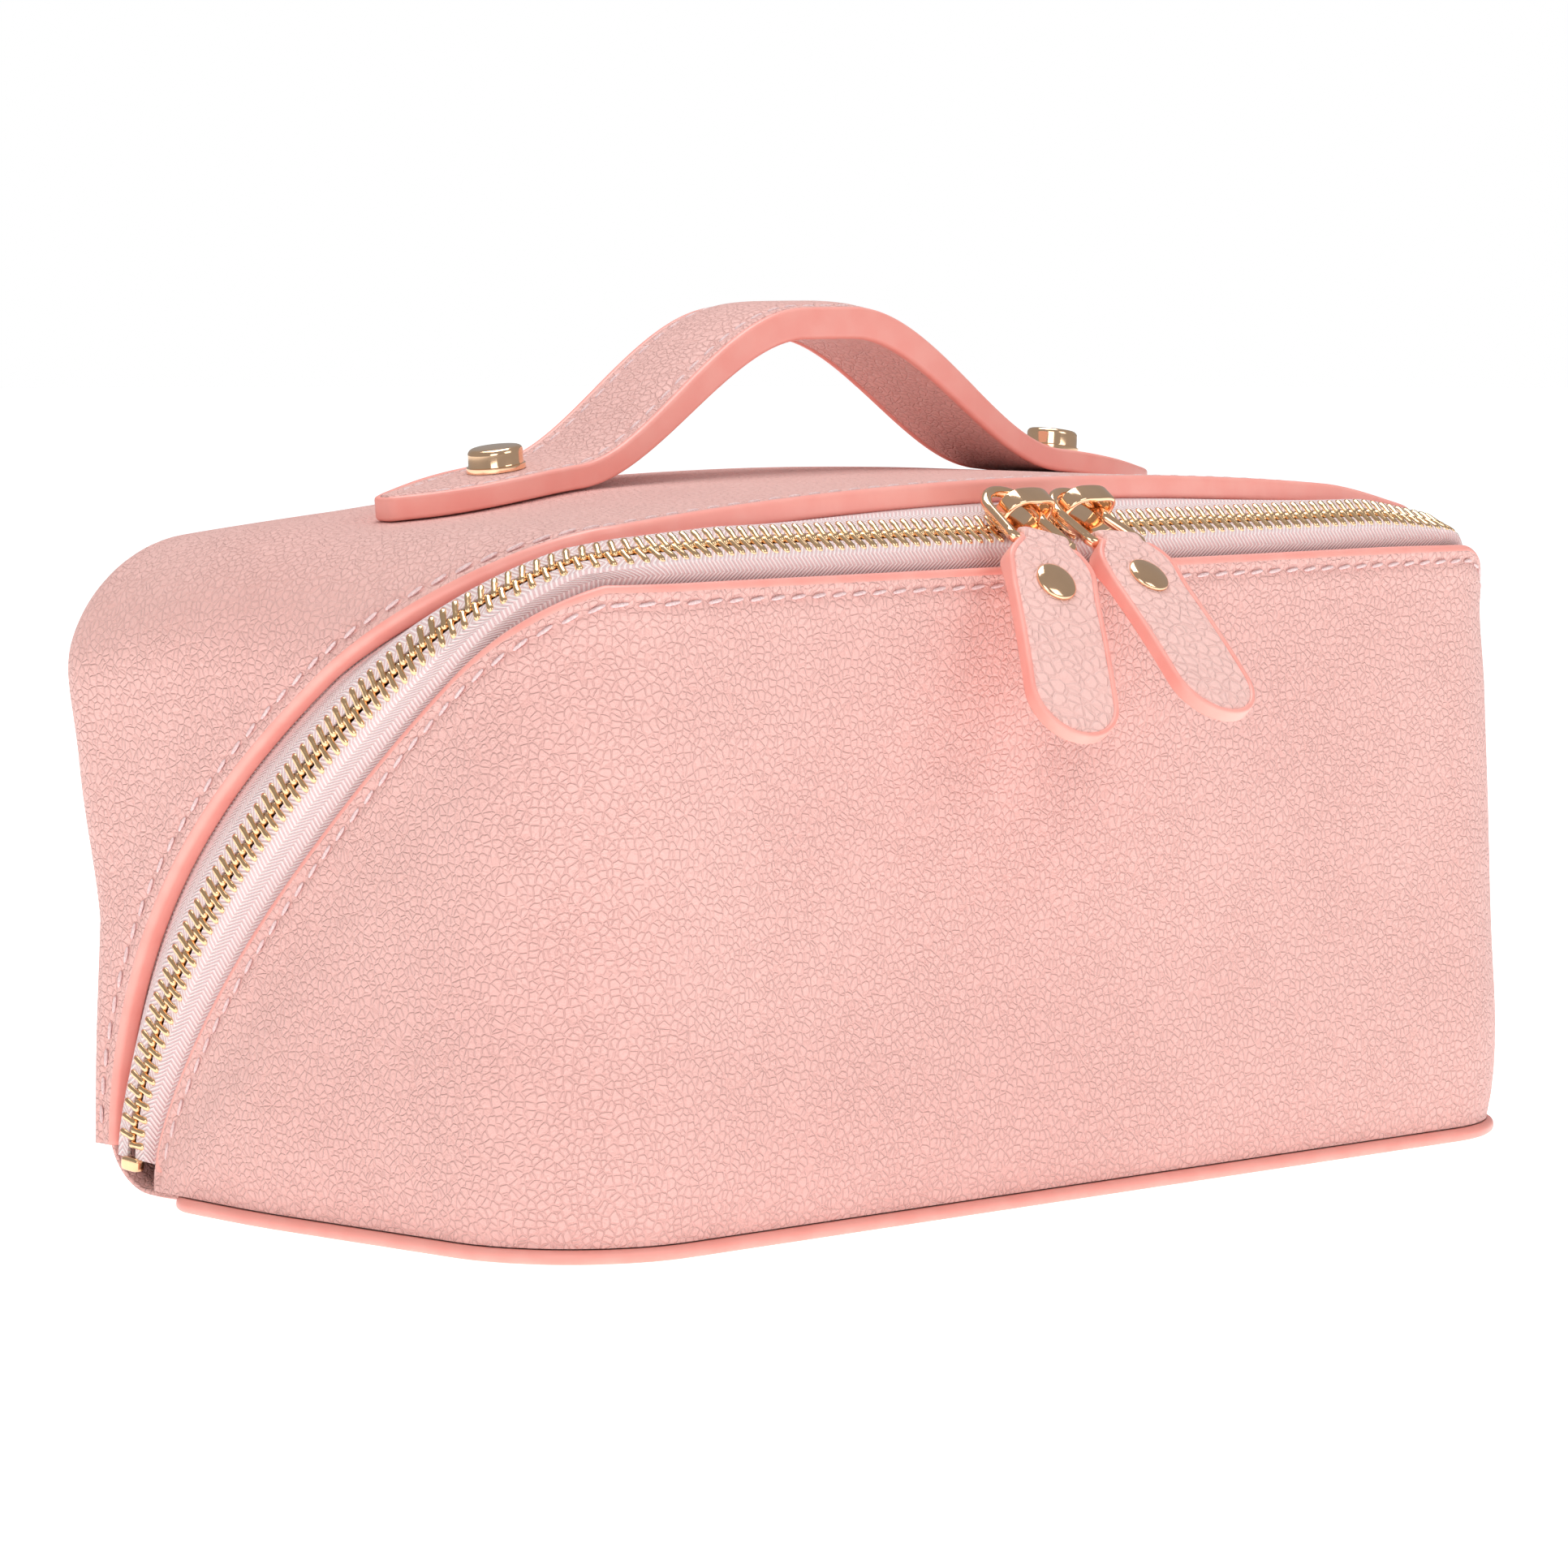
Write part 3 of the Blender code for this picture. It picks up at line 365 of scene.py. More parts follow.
class Finish:
    """A material in the making, on the Principled shader."""

    def __init__(self, name, **fixed):
        self.material = bpy.data.materials.new(name)
        self.material.use_nodes = True
        self.tree = self.material.node_tree
        self.shader = self.tree.nodes["Principled BSDF"]
        for key, value in fixed.items():
            self.shader.inputs[key.replace("_", " ").title().replace("Ior", "IOR")].default_value = value

    def node(self, kind, settings=None, *values, output=0, **named):
        """Adds a node: its settings first, then a value or link for each socket, in order or by name."""
        made = self.tree.nodes.new(kind)
        for key, value in (settings or {}).items():
            setattr(made, key, value)
        for socket, value in list(zip(made.inputs, values)) + [(made.inputs[k], v) for k, v in named.items()]:
            if isinstance(value, Signal):
                self.tree.links.new(value.socket, socket)
            elif value is not None:
                socket.default_value = value
        return Signal(self, made.outputs[output])

    def place(self):
        """Object coordinates, in metres."""
        return self.node("ShaderNodeTexCoord", output="Object")

    def noise(self, at, scale, detail=3.0, rough=0.5):
        return self.node("ShaderNodeTexNoise", {}, Vector=at, Scale=scale, Detail=detail, Roughness=rough)

    def cells(self, at, scale, feature="F1"):
        return self.node("ShaderNodeTexVoronoi", {"feature": feature}, Vector=at, Scale=scale)

    def blend(self, share, first, second):
        """One colour fades into another."""
        made = self.tree.nodes.new("ShaderNodeMix")
        made.data_type = "RGBA"
        for index, value in ((0, share), (6, first), (7, second)):
            if isinstance(value, Signal):
                self.tree.links.new(value.socket, made.inputs[index])
            else:
                made.inputs[index].default_value = value
        return Signal(self, made.outputs[2])

    def set(self, **links):
        for key, value in links.items():
            self.tree.links.new(value.socket, self.shader.inputs[key.replace("_", " ")])

    def bump(self, height, depth, strength=1.0):
        """Small relief: the height signal, 0 to 1, stands for that many metres."""
        self.set(Normal=self.node("ShaderNodeBump", {}, Strength=strength, Distance=depth, Height=height))


print("shader sums ready")

# %% [markdown]
# Grained leather has small domed pebbles with fine creases between them. Each pebble is a cell of a Voronoi
# pattern, domed towards its middle, and the creases are where two cells meet. A slow noise bends the pattern,
# so the rows never look straight, and makes the grain finer in places.

# %% Leather


def leather(name, colour, grain=740.0, depth=0.36 * MM, strength=0.9, crease_shade_level=0.12):
    """Pebbled leather: domed cells, creases darkened with painted shade, pores, and slow changes of colour.
    """
    f = Finish(name, specular_ior_level=0.42, sheen_weight=0.12, sheen_roughness=0.5)
    at = f.place()
    drift = f.node("ShaderNodeTexNoise", {}, Vector=at, Scale=210.0, Detail=2.0, output="Color")
    bent = f.node("ShaderNodeVectorMath", {"operation": "MULTIPLY_ADD"}, drift, (0.0016,) * 3, at)
    crease = f.cells(bent, grain, "DISTANCE_TO_EDGE").ramp(0.0, 0.17)
    small = f.cells(bent, grain * 2.1, "DISTANCE_TO_EDGE").ramp(0.0, 0.30)
    dome = 1.0 - f.cells(bent, grain) ** 2.0
    wide = f.noise(at, 55.0, 2.0).ramp(0.35, 0.65)
    pores = f.noise(at, 3600.0, 2.0)
    height = crease * 0.52 + dome * 0.22 + small * (0.10 + wide * 0.10) + pores * 0.08
    dark = tuple(c * s for c, s in zip(colour[:3], (0.84, 0.72, 0.70))) + (1.0,)
    pale = tuple(min(1.0, c * s) for c, s in zip(colour[:3], (1.02, 1.05, 1.05))) + (1.0,)
    tint = f.blend(f.noise(at, 18.0, 2.0).ramp(0.3, 0.7), colour, pale)
    # painted shade: the creases are drawn towards the dark colour, more where the slow noise is high
    crease_shade = (1.0 - crease) * (crease_shade_level + 0.14 * wide)
    f.set(**{"Base Color": f.blend(crease_shade, tint, dark)})
    f.set(Roughness=0.50 + 0.12 * pores - 0.06 * crease)
    f.bump(height, depth, strength)
    return f.material


LEATHER = leather("pebbled leather", tone(238, 184, 176))
PULL_LEATHER = leather("soft puller leather", tone(248, 198, 190), grain=500.0, depth=0.46 * MM, crease_shade_level=0.16)
print("leather:", LEATHER.name, PULL_LEATHER.name)

# %% [markdown]
# The cut edges are sealed with thick coral paint, which dries smooth with a soft gloss and gentle ripples.
# The thread is pale and matt. The boards and the lining are nearly plain, with a fine fibre of their own.

# %% Edge paint, thread, lining and board


def edge_paint():
    f = Finish("coral edge paint", roughness=0.40, coat_weight=0.15, coat_roughness=0.3)
    at = f.place()
    mottle = f.noise(at, 160.0, 3.0).ramp(0.3, 0.7)
    f.set(**{"Base Color": f.blend(mottle, tone(250, 164, 152), tone(252, 174, 162))})
    f.bump(f.noise(at, 420.0, 2.0), 0.12 * MM, 0.5)
    return f.material


def thread():
    f = Finish("pale thread", roughness=0.62, sheen_weight=0.3)
    at = f.place()
    twist = f.noise(at, 2800.0, 2.0).ramp(0.35, 0.65)
    f.set(**{"Base Color": f.blend(twist, tone(226, 190, 190), tone(245, 216, 214))})
    f.bump(twist, 0.08 * MM, 0.6)
    return f.material


def lining_cloth():
    """A brushed face: fine fibres in a slightly mottled colour."""
    f = Finish("brushed lining", roughness=0.86, sheen_weight=0.35)
    at = f.place()
    fibre = f.noise(at, 1500.0, 4.0, 0.65)
    f.set(**{"Base Color": f.blend(fibre.ramp(0.3, 0.7), tone(222, 178, 172), tone(236, 200, 194))})
    f.bump(fibre, 0.10 * MM, 0.6)
    return f.material


def stiff_board():
    f = Finish("grey board", roughness=0.9)
    fibre = f.noise(f.place(), 900.0, 5.0, 0.7)
    f.set(**{"Base Color": f.blend(fibre, tone(150, 140, 128), tone(178, 168, 152))})
    f.bump(fibre, 0.1 * MM, 0.5)
    return f.material


PAINT, THREAD, CLOTH, CARD = edge_paint(), thread(), lining_cloth(), stiff_board()
print("finishes:", PAINT.name, THREAD.name, CLOTH.name, CARD.name)

# %% [markdown]
# The zip's tape is woven in herringbone: fine slanting ribs that turn back every few millimetres. The pattern
# follows the tape, so it reads the tape's own map, whose two numbers are metres along and across it. A
# ping-pong of the distance across makes the ribs turn. The metal is plated: smooth, with faint cloudiness.

# %% Zip tape and plated metal


def twill():
    f = Finish("herringbone tape", roughness=0.78, sheen_weight=0.25)
    run = f.node("ShaderNodeUVMap", {"uv_map": "run"})
    split = f.node("ShaderNodeSeparateXYZ", {}, run)
    along, across = split, Signal(f, split.socket.node.outputs[1])
    turn = across.math("PINGPONG", 1.9 * MM)
    rib = ((along + turn) * (2 * math.pi / (0.95 * MM))).math("SINE") * 0.5 + 0.5
    yarn = (along * (2 * math.pi / (0.34 * MM))).math("SINE") * 0.5 + 0.5
    fluff = f.noise(f.place(), 1800.0, 3.0)
    height = rib * 0.72 + yarn * 0.10 + fluff * 0.18
    # painted shade: the colour follows the weave's height, darker in the grooves between the ribs
    shade = height.ramp(0.25, 0.75)
    f.set(**{"Base Color": f.blend(shade, tone(234, 200, 200), tone(255, 240, 238))})
    f.bump(height, 0.30 * MM, 0.9)
    return f.material


def plated(name, colour, roughness):
    f = Finish(name, metallic=1.0)
    at = f.place()
    cloud = f.noise(at, 240.0, 3.0)
    f.set(**{"Base Color": f.blend(cloud.ramp(0.3, 0.7), colour, tuple(min(1.0, c * 1.06) for c in colour))})
    f.set(Roughness=roughness + 0.10 * cloud)
    return f.material


TWILL = twill()
GOLD = plated("polished pale gold", tone(248, 206, 168), 0.07)
TEETH_GOLD = plated("zip gold", tone(240, 200, 156), 0.15)
print("finishes:", TWILL.name, GOLD.name, TEETH_GOLD.name)

# %% [markdown]
# Soft leather never keeps a straight line. The lid's ends swell a little towards the top, its back leans out
# and its top sinks towards the back, and the tray is fullest just above the base. These moves fade to nothing
# at the zip, so the leather edges stay where the tape needs them.

# %% How the leather settles


SWELL = 1.2 * MM
LEAN = 1.8 * MM
TUCK = 3.0 * MM
SQUARE = 0.9 * MM
SINK = 4.6 * MM
FULLNESS = 1.4 * MM
RIPPLE = 0.30 * MM


def settle_lid(points):
    """The lid's ends swell with height, its back leans out and its top sinks towards the back."""
    p = np.array(points, float)
    x, y, z = p[..., 0].copy(), p[..., 1].copy(), p[..., 2].copy()
    behind = y - lid_edge_y(np.minimum(z, CORNER_TOP))
    away, near = smooth(behind, 5 * MM, 60 * MM), smooth(behind, 3 * MM, 26 * MM)
    high = smooth(z, 4 * MM, 92 * MM)
    square = smooth(z, 76 * MM, 98 * MM)
    p[..., 0] += np.sign(x) * smooth(np.abs(x), 0.55 * SIDE, SIDE) * away * (high * SWELL + square * SQUARE)
    corner = (1 - smooth(z, 8 * MM, 75 * MM)) * smooth(y, 15 * MM, BACK) * smooth(np.abs(x), 0.8 * SIDE, SIDE)
    p[..., 0] -= np.sign(x) * corner * near * TUCK
    less = 1 - 0.5 * smooth(z, 95 * MM, LID_HEIGHT)
    p[..., 1] += smooth(y, 0.0, BACK) * (high * LEAN * less + square * SQUARE)
    p[..., 1] -= corner * near * 0.5 * TUCK
    p[..., 2] -= smooth(y, 20 * MM, BACK) * smooth(z, 50 * MM, 112 * MM) * SINK
    return p


def settle_tray(points, edge):
    """The tray's wall is fullest low down, and ripples slightly. edge is the height of its leather edge."""
    p = np.array(points, float)
    x, y, z = p[..., 0].copy(), p[..., 1].copy(), p[..., 2].copy()
    calm = smooth(edge - z, 4 * MM, 26 * MM)
    low = np.exp(-((z - 16 * MM) / (17 * MM)) ** 2) * FULLNESS + smooth(z, 0.0, 30 * MM) * calm * 0.5 * MM
    low *= smooth(z, 0.0, 9 * MM)
    wave = np.sin(x * 47 + 1.3) * np.sin(z * 61 + y * 53) * RIPPLE * calm * smooth(z, 2 * MM, 20 * MM)
    centre_x, centre_y = SIDE - FRONT_CORNER_RADIUS, FRONT + FRONT_CORNER_RADIUS
    over = np.stack((np.where(np.abs(x) > centre_x, x - np.sign(x) * centre_x, 0.0),
                     np.where(y < centre_y, y - centre_y, 0.0)), axis=-1)
    p[..., :2] += unit(over) * (low * calm + wave)[..., None]
    return p


print("settling moves up to", LEAN / MM, "mm")

# %% [markdown]
# The two leather edges are followed point for point. Each edge keeps its outward direction, its direction
# along the edge and the direction across the edge within the leather, so that paint, stitches and tape can be
# laid out from it.

# %% The leather edges and the zip's path


def evenly(points, count):
    """The same line with evenly spaced points."""
    run = running_length(points)
    at = np.linspace(0.0, run[-1], count)
    return np.column_stack([np.interp(at, run, points[:, k]) for k in range(points.shape[1])])


def half_edges(climb_count=260, run_count=180):
    """The tray's and the lid's leather edge on the left half, point for point, with inward normals."""
    run_x = SIDE - FRONT_CORNER_RADIUS
    plan = outline(end=400, corner=160, front=200)
    plan = plan[:len(plan) // 2 + 1]
    tray = np.column_stack((plan, tray_edge_z(plan[:, 1])))
    section = arch(rise=400, corner=200, crown=300)
    section = section[:len(section) // 2 + 1]
    lid = np.column_stack((section[:, 0], lid_edge_y(section[:, 1]), section[:, 1]))
    front_x = np.linspace(-run_x, 0.0, run_count + 1)[1:]
    lines = []
    for line in (tray, lid):
        climb = evenly(line[line[:, 0] <= 1e-9 - run_x], climb_count)
        run = [front_x] + [np.interp(front_x, line[:, 0], line[:, k]) for k in (1, 2)]
        lines.append(np.vstack((climb, np.column_stack(run))))
    tray, lid = lines
    turn = np.clip((run_x + tray[:, 0]) / FRONT_CORNER_RADIUS, -1.0, 0.0)
    tray_in = np.column_stack((-turn, np.sqrt(1 - turn ** 2), np.zeros(len(tray))))
    tray_in[tray[:, 1] > FRONT + FRONT_CORNER_RADIUS] = (1.0, 0.0, 0.0)
    over = lid[:, [0, 2]] - (-CORNER_X, CORNER_Z)
    lid_in = np.column_stack((-over[:, 0], np.zeros(len(lid)), -over[:, 1]))
    lid_in[lid[:, 2] <= CORNER_Z] = (1.0, 0.0, 0.0)
    lid_in[lid[:, 0] >= -CORNER_X] = (0.0, 0.0, -1.0)
    return tray, lid, unit(tray_in), unit(lid_in)


CHAIN_INSET, CHAIN_LIFT, CHAIN_STRAIGHT = 1.5 * MM, 1.8 * MM, 81 * MM


def zip_path():
    """Leather edges, tape borders and the zip's centre line, with its directions, from foot to foot."""
    tray, lid, tray_in, lid_in = half_edges()
    guide_tray, guide_lid = tray + CHAIN_INSET * tray_in, lid + CHAIN_INSET * lid_in
    guide_lid[:, 2] = np.minimum(guide_lid[:, 2], crown_z(CHAIN_STRAIGHT) - CHAIN_INSET)
    along = unit(np.gradient((guide_tray + guide_lid) / 2, axis=0))
    along[-1] = (1.0, 0.0, 0.0)
    across = guide_lid - guide_tray
    across = unit(across - along * np.sum(across * along, axis=1, keepdims=True))
    out = np.cross(along, across)
    flip = (-1, 1, 1)
    full = {"tray": mirrored(tray, flip), "lid": mirrored(lid, flip),
            "tape_tray": mirrored(tray + TAPE_INSET * tray_in, flip),
            "tape_lid": mirrored(lid + TAPE_INSET * lid_in, flip),
            "middle": mirrored((guide_tray + guide_lid) / 2 + CHAIN_LIFT * out, flip),
            "across": mirrored(across, flip), "out": mirrored(out, flip),
            "tray_in": mirrored(tray_in, flip), "lid_in": mirrored(lid_in, flip)}
    full["along"] = unit(np.gradient(full["middle"], axis=0))
    return full


PATH = zip_path()
CHAIN_RUN = running_length(PATH["middle"])
print("zip length:", round(CHAIN_RUN[-1] / MM), "mm")


def edge_frame(side):
    """Along the leather edge, out of the leather, and across the edge towards the zip."""
    edge = PATH[side]
    along = unit(np.gradient(edge, axis=0))
    outward = -PATH[side + "_in"]
    outward = unit(outward - along * np.sum(outward * along, axis=1, keepdims=True))
    toward = np.cross(outward, along) if side == "tray" else np.cross(along, outward)
    return edge, along, outward, toward


for side_name in ("tray", "lid"):
    middle = len(PATH["tray"]) // 2
    print(side_name, "edge faces", np.round(edge_frame(side_name)[3][middle], 2))

# %% [markdown]
# The tray's wall is one leather skin. Its outer face is a grid: columns stand round the plan, and rows come
# closer together towards the edge, where the stitches pull a groove into the leather. Inner and outer face
# form one ring for each column, so the wall has a thickness and is closed.

# %% Tray leather

STITCH_PITCH = 4.7 * MM
TRAY_STITCH, LID_STITCH = 2.9 * MM, 3.3 * MM
SKIN = 2.2 * MM


def stitch_groove(distance, run, line):
    """Depth of the groove at a distance from the leather edge: deepest on the line and under each stitch."""
    pull = 0.72 + 0.28 * np.cos(2 * math.pi * run / STITCH_PITCH)
    groove = 0.42 * MM * np.exp(-((distance - line) / (0.62 * MM)) ** 2) * pull
    puff = 0.16 * MM * np.exp(-((distance - line * 0.45) / (0.8 * MM)) ** 2)
    beyond = 0.14 * MM * np.exp(-((distance - line * 1.75) / (1.3 * MM)) ** 2)
    return puff + beyond - groove


def graded(count, growth=2.6):
    """Steps from 0 to 1 that start small."""
    return np.expm1(growth * np.linspace(0.0, 1.0, count)) / math.expm1(growth)


def tray_leather():
    plan = outline()
    top = tray_edge_z(plan[:, 1])
    edge_run = running_length(np.column_stack((plan, top)))
    normal = -line_normals(plan)
    slope = np.gradient(top, running_length(plan))
    cos, sin = 1 / np.sqrt(1 + slope ** 2), slope / np.sqrt(1 + slope ** 2)
    low = BASE_THICKNESS + GAP / 2
    down = 0.7 * MM + graded(64)[:, None] * (top - 0.7 * MM - low)[None, :]
    outer = np.stack((np.broadcast_to(plan[:, 0], down.shape), np.broadcast_to(plan[:, 1], down.shape),
                      top - down), axis=-1)
    relief = stitch_groove(down * cos, edge_run - down * sin, TRAY_STITCH)
    outer = settle_tray(outer, top)
    outer[..., :2] += normal * relief[..., None]
    inner = outer[::4].copy()
    inner[..., :2] -= normal * SKIN
    rings = np.concatenate((outer, inner[::-1]), axis=0).transpose(1, 0, 2)
    return rings_piece("tray_leather", rings, LEATHER, "tray", slot="leather", replaces=["tray_shell"],
                       sharp=60)


def tray_cloth():
    """The lining inside the wall: two faces over the same plan, from the floor to below the tape's margin."""
    rings = []
    for depth in (WALL + GAP, WALL + GAP + LINING):
        plan = outline(inset=depth)
        top = tray_edge_z(plan[:, 1]) - 7.5 * MM
        share = np.linspace(0.0, 1.0, 16)[:, None]
        z = np.maximum(top, FLOOR_TOP + 0.6 * MM) * (1 - share) + (FLOOR_TOP + 0.3 * MM) * share
        wall = np.concatenate((np.broadcast_to(plan, (*z.shape, 2)), z[..., None]), axis=-1)
        rings.append(wall if not rings else wall[::-1])
    rings = np.concatenate(rings, axis=0).transpose(1, 0, 2)
    return rings_piece("tray_inner_cloth", rings, CLOTH, "tray", slot="lining", replaces=["tray_lining"],
                       sharp=60)


tray_leather()
tray_cloth()

# %% [markdown]
# The lid's leather starts behind its painted edge, runs back over the ends and the top, rolls over the back
# edge in a quarter circle and ends in a hem under the back panel. The same layer function makes the board and
# the lining inside the lid, each deeper in than the one before.

# %% Lid leather, board and lining
BACK_ROLL = 8.5 * MM


def lid_columns(inset, front_gap):
    """Section points of the lid at a depth, with the outer edge's run, slope and front line."""
    base = arch()
    normal = line_normals(base)
    front = lid_edge_y(base[:, 1])
    edge_run = running_length(np.column_stack((base[:, 0], front, base[:, 1])))
    slope = np.gradient(front, running_length(base))
    return base - normal * inset, normal, front + front_gap, edge_run, slope


def lid_skin(inset, front_gap, rows, roll_rows, roll):
    """Grid over the lid at a depth: rows from the front edge back, then round the back edge."""
    section, normal, front, edge_run, slope = lid_columns(inset, front_gap)
    room = np.maximum(BACK - inset - front, 0.4 * MM)
    radius = np.minimum(max(roll - inset, 1 * MM), 0.45 * room)
    share = graded(rows)[:, None]
    y = front + share * (BACK - inset - radius - front)
    turn = np.linspace(0.0, math.pi / 2, roll_rows)[1:, None]
    y = np.vstack((y, BACK - inset - radius + radius * np.sin(turn)))
    fall = np.vstack((np.zeros((rows, len(front))), radius * (1 - np.cos(turn))))
    x = section[:, 0] - normal[:, 0] * fall
    z = section[:, 1] - normal[:, 1] * fall
    return np.stack((x, y, z), axis=-1), normal, edge_run, slope


def lid_leather():
    gap = 0.9 * MM
    outer, normal, edge_run, slope = lid_skin(0.0, gap, 66, 12, BACK_ROLL)
    cos, sin = 1 / np.sqrt(1 + slope ** 2), slope / np.sqrt(1 + slope ** 2)
    back = outer[..., 1] - (outer[0, :, 1] - gap)
    relief = stitch_groove(back * cos, edge_run + back * sin, LID_STITCH)
    relief[66:] = 0.0
    inner, _, _, _ = lid_skin(SKIN, gap, 17, 4, BACK_ROLL)
    outer, inner = settle_lid(outer), settle_lid(inner)
    outer[..., 0] += normal[:, 0] * relief
    outer[..., 2] += normal[:, 1] * relief
    rings = np.concatenate((outer, inner[::-1]), axis=0).transpose(1, 0, 2)
    return rings_piece("lid_leather", rings, LEATHER, "lid", slot="leather", replaces=["lid_shell"], sharp=60)


def lid_layer(name, outer_inset, inner_inset, front_gap, finish, slot, node, keep=None):
    """A thinner layer inside the lid, over the same columns, which stops short of the zip."""
    outer = settle_lid(lid_skin(outer_inset, front_gap, 24, 6, BACK_ROLL)[0])
    inner = settle_lid(lid_skin(inner_inset, front_gap, 24, 6, BACK_ROLL)[0])
    rings = np.concatenate((outer, inner[::-1]), axis=0).transpose(1, 0, 2)
    if keep is not None:
        rings = rings[keep]
    return rings_piece(name, rings, finish, "lid", slot=slot, replaces=[node], sharp=60)


lid_leather()
TOP_COLUMNS = np.abs(arch()[:, 0]) < CORNER_X
HIGH_COLUMNS = arch()[:, 1] > 24 * MM
lid_layer("lid_stiffener", 3.3 * MM, 4.8 * MM, 13 * MM, CARD, "board", "lid_board", TOP_COLUMNS)
lid_layer("lid_inner_cloth", 5.2 * MM, 6.2 * MM, 13 * MM, CLOTH, "lining", "lid_lining", HIGH_COLUMNS)
print("lid layers: leather, board, lining")

# %% [markdown]
# The back panel is a separate piece of leather lapped over the rolled edge of the lid. It is cut to the arch
# of the lid, a little smaller, with rounded edges, and it is padded slightly by the air in the case. Its grid
# has columns along X that crowd together in the round corners, and rows from its foot to its arched top.

# %% Back panel and its lining
PANEL_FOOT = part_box("back_panel")[0].z
PANEL_INSET = BACK_ROLL - 2.2 * MM


def arch_top(x, inset):
    """Height of the arch above each x, that far inside the lid's outer line."""
    x = np.abs(x)
    turn = END_TOP_RADIUS - inset
    over = np.clip(x - CORNER_X, 0.0, turn)
    crown = CROWN_CENTRE + np.sqrt((CROWN_RADIUS - inset) ** 2 - np.minimum(x, CORNER_X) ** 2)
    return np.where(x <= CORNER_X, crown, CORNER_Z + np.sqrt(turn ** 2 - over ** 2))


def panel_grid(inset, y, foot, columns=150, rows=90):
    """Points over the arch at one depth, with their distance from the arch's border."""
    half = SIDE - inset
    x = half * np.sin(np.linspace(-math.pi / 2, math.pi / 2, columns))
    top = arch_top(x, inset)
    share = 0.5 - 0.5 * np.cos(np.linspace(0.0, math.pi, rows))[:, None]
    z = foot + share * (top - foot)
    points = np.stack((np.broadcast_to(x, z.shape), np.full(z.shape, y), z), axis=-1)
    border = np.minimum(half - np.abs(points[..., 0]), top - points[..., 2])
    return points, border, points[..., 2] - foot


def back_leather():
    points, border, above = panel_grid(PANEL_INSET, BACK, PANEL_FOOT)
    rim = np.minimum(border, above)
    outer = points.copy()
    outer[..., 1] += 0.9 * MM * np.sqrt(np.clip(rim / (1.2 * MM), 0.0, 1.0))
    outer[..., 1] -= 0.30 * MM * np.exp(-((border - 2.6 * MM) / (0.8 * MM)) ** 2)
    outer[..., 1] += 1.2 * MM * smooth(rim, 0.0, 45 * MM)
    inner = points[::3, ::3].copy()
    inner[..., 1] -= 1.2 * MM
    outer, inner = settle_lid(outer), settle_lid(inner)
    return two_faces("back_leather", outer, inner, LEATHER, "lid", slot="leather", replaces=["back_panel"])


def border_loop(rows, columns):
    """Corner numbers round the border of a grid, in order."""
    grid = np.arange(rows * columns).reshape(rows, columns)
    return np.concatenate((grid[0, :-1], grid[:-1, -1], grid[-1, :0:-1], grid[:0:-1, 0]))


def two_faces(name, outer, inner, finish, body, **facts):
    """A plate from an outer and an inner grid. The inner one is stretched to the outer one's count first."""
    if inner.shape != outer.shape:
        for axis in (0, 1):
            old = np.linspace(0.0, 1.0, inner.shape[axis])
            new = np.linspace(0.0, 1.0, outer.shape[axis])
            low = np.clip(np.searchsorted(old, new, side="right") - 1, 0, len(old) - 2)
            share = ((new - old[low]) / (old[low + 1] - old[low])).reshape([-1 if k == axis else 1
                                                                           for k in range(3)])
            inner = np.take(inner, low, axis) * (1 - share) + np.take(inner, low + 1, axis) * share
    rows, columns = outer.shape[:2]
    count = rows * columns
    loop = border_loop(rows, columns)
    after = np.roll(loop, -1)
    rim = np.stack((loop, after, after + count, loop + count), axis=1)
    faces = np.vstack((quads(rows, columns), quads(rows, columns)[:, ::-1] + count, rim))
    points = np.vstack((outer.reshape(-1, 3), inner.reshape(-1, 3)))
    return facing_out(shown(name, points, faces, finish, body, **facts))


def back_inner_cloth():
    depth = WALL + GAP
    layers = [settle_lid(panel_grid(depth, BACK - at, PANEL_FOOT, 60, 30)[0])
              for at in (depth, depth + LINING)]
    return two_faces("back_inner_cloth", *layers, CLOTH, "lid", slot="lining", replaces=["back_lining"])


back_leather()
back_inner_cloth()
print("back panel foot at", round(PANEL_FOOT / MM, 1), "mm")

# %% [markdown]
# Under the case lies the base: a leather-covered panel whose whole rim is painted coral. At the back a
# leather bend joins the base to the lid. It crosses the hinge, and it is not joined to either moving body.

# %% Base and hinge bend
BASE_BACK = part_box("base_panel")[1].y
BASE_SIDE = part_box("base_panel")[1].x
BASE_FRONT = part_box("base_panel")[0].y


def base_line(inset=0.0, back_radius=8 * MM, steps=20):
    """Closed plan of the base: rounded front corners and smaller rounded back corners, counter-clockwise."""
    front_radius = FRONT_CORNER_RADIUS + (BASE_SIDE - SIDE)
    corners = [(1, BASE_BACK, back_radius, 0.0), (-1, BASE_BACK, back_radius, 0.5),
               (-1, BASE_FRONT, front_radius, 1.0), (1, BASE_FRONT, front_radius, 1.5)]
    line = []
    for side, y, radius, start in corners:
        a = np.linspace(start * math.pi, (start + 0.5) * math.pi, steps)
        reach = radius - inset
        middle_y = y - radius if y == BASE_BACK else y + radius
        middle_x = side * (BASE_SIDE - radius)
        line.append(np.column_stack((middle_x + reach * np.cos(a), middle_y + reach * np.sin(a))))
    return np.vstack(line)


def closed_evenly(points, count):
    """A closed line with evenly spaced points."""
    loop = np.vstack((points, points[:1]))
    return evenly(loop, count + 1)[:-1]


def base_rim():
    line = closed_evenly(base_line(inset=1.3 * MM), 420)
    path = np.column_stack((line, np.full(len(line), BASE_THICKNESS / 2)))
    rings = along_path(path, (0, 0, 1), rounded_section(2.6 * MM, BASE_THICKNESS, 1.05 * MM), closed=True)
    return rings_piece("base_rim_paint", rings, PAINT, "tray", closed=True)


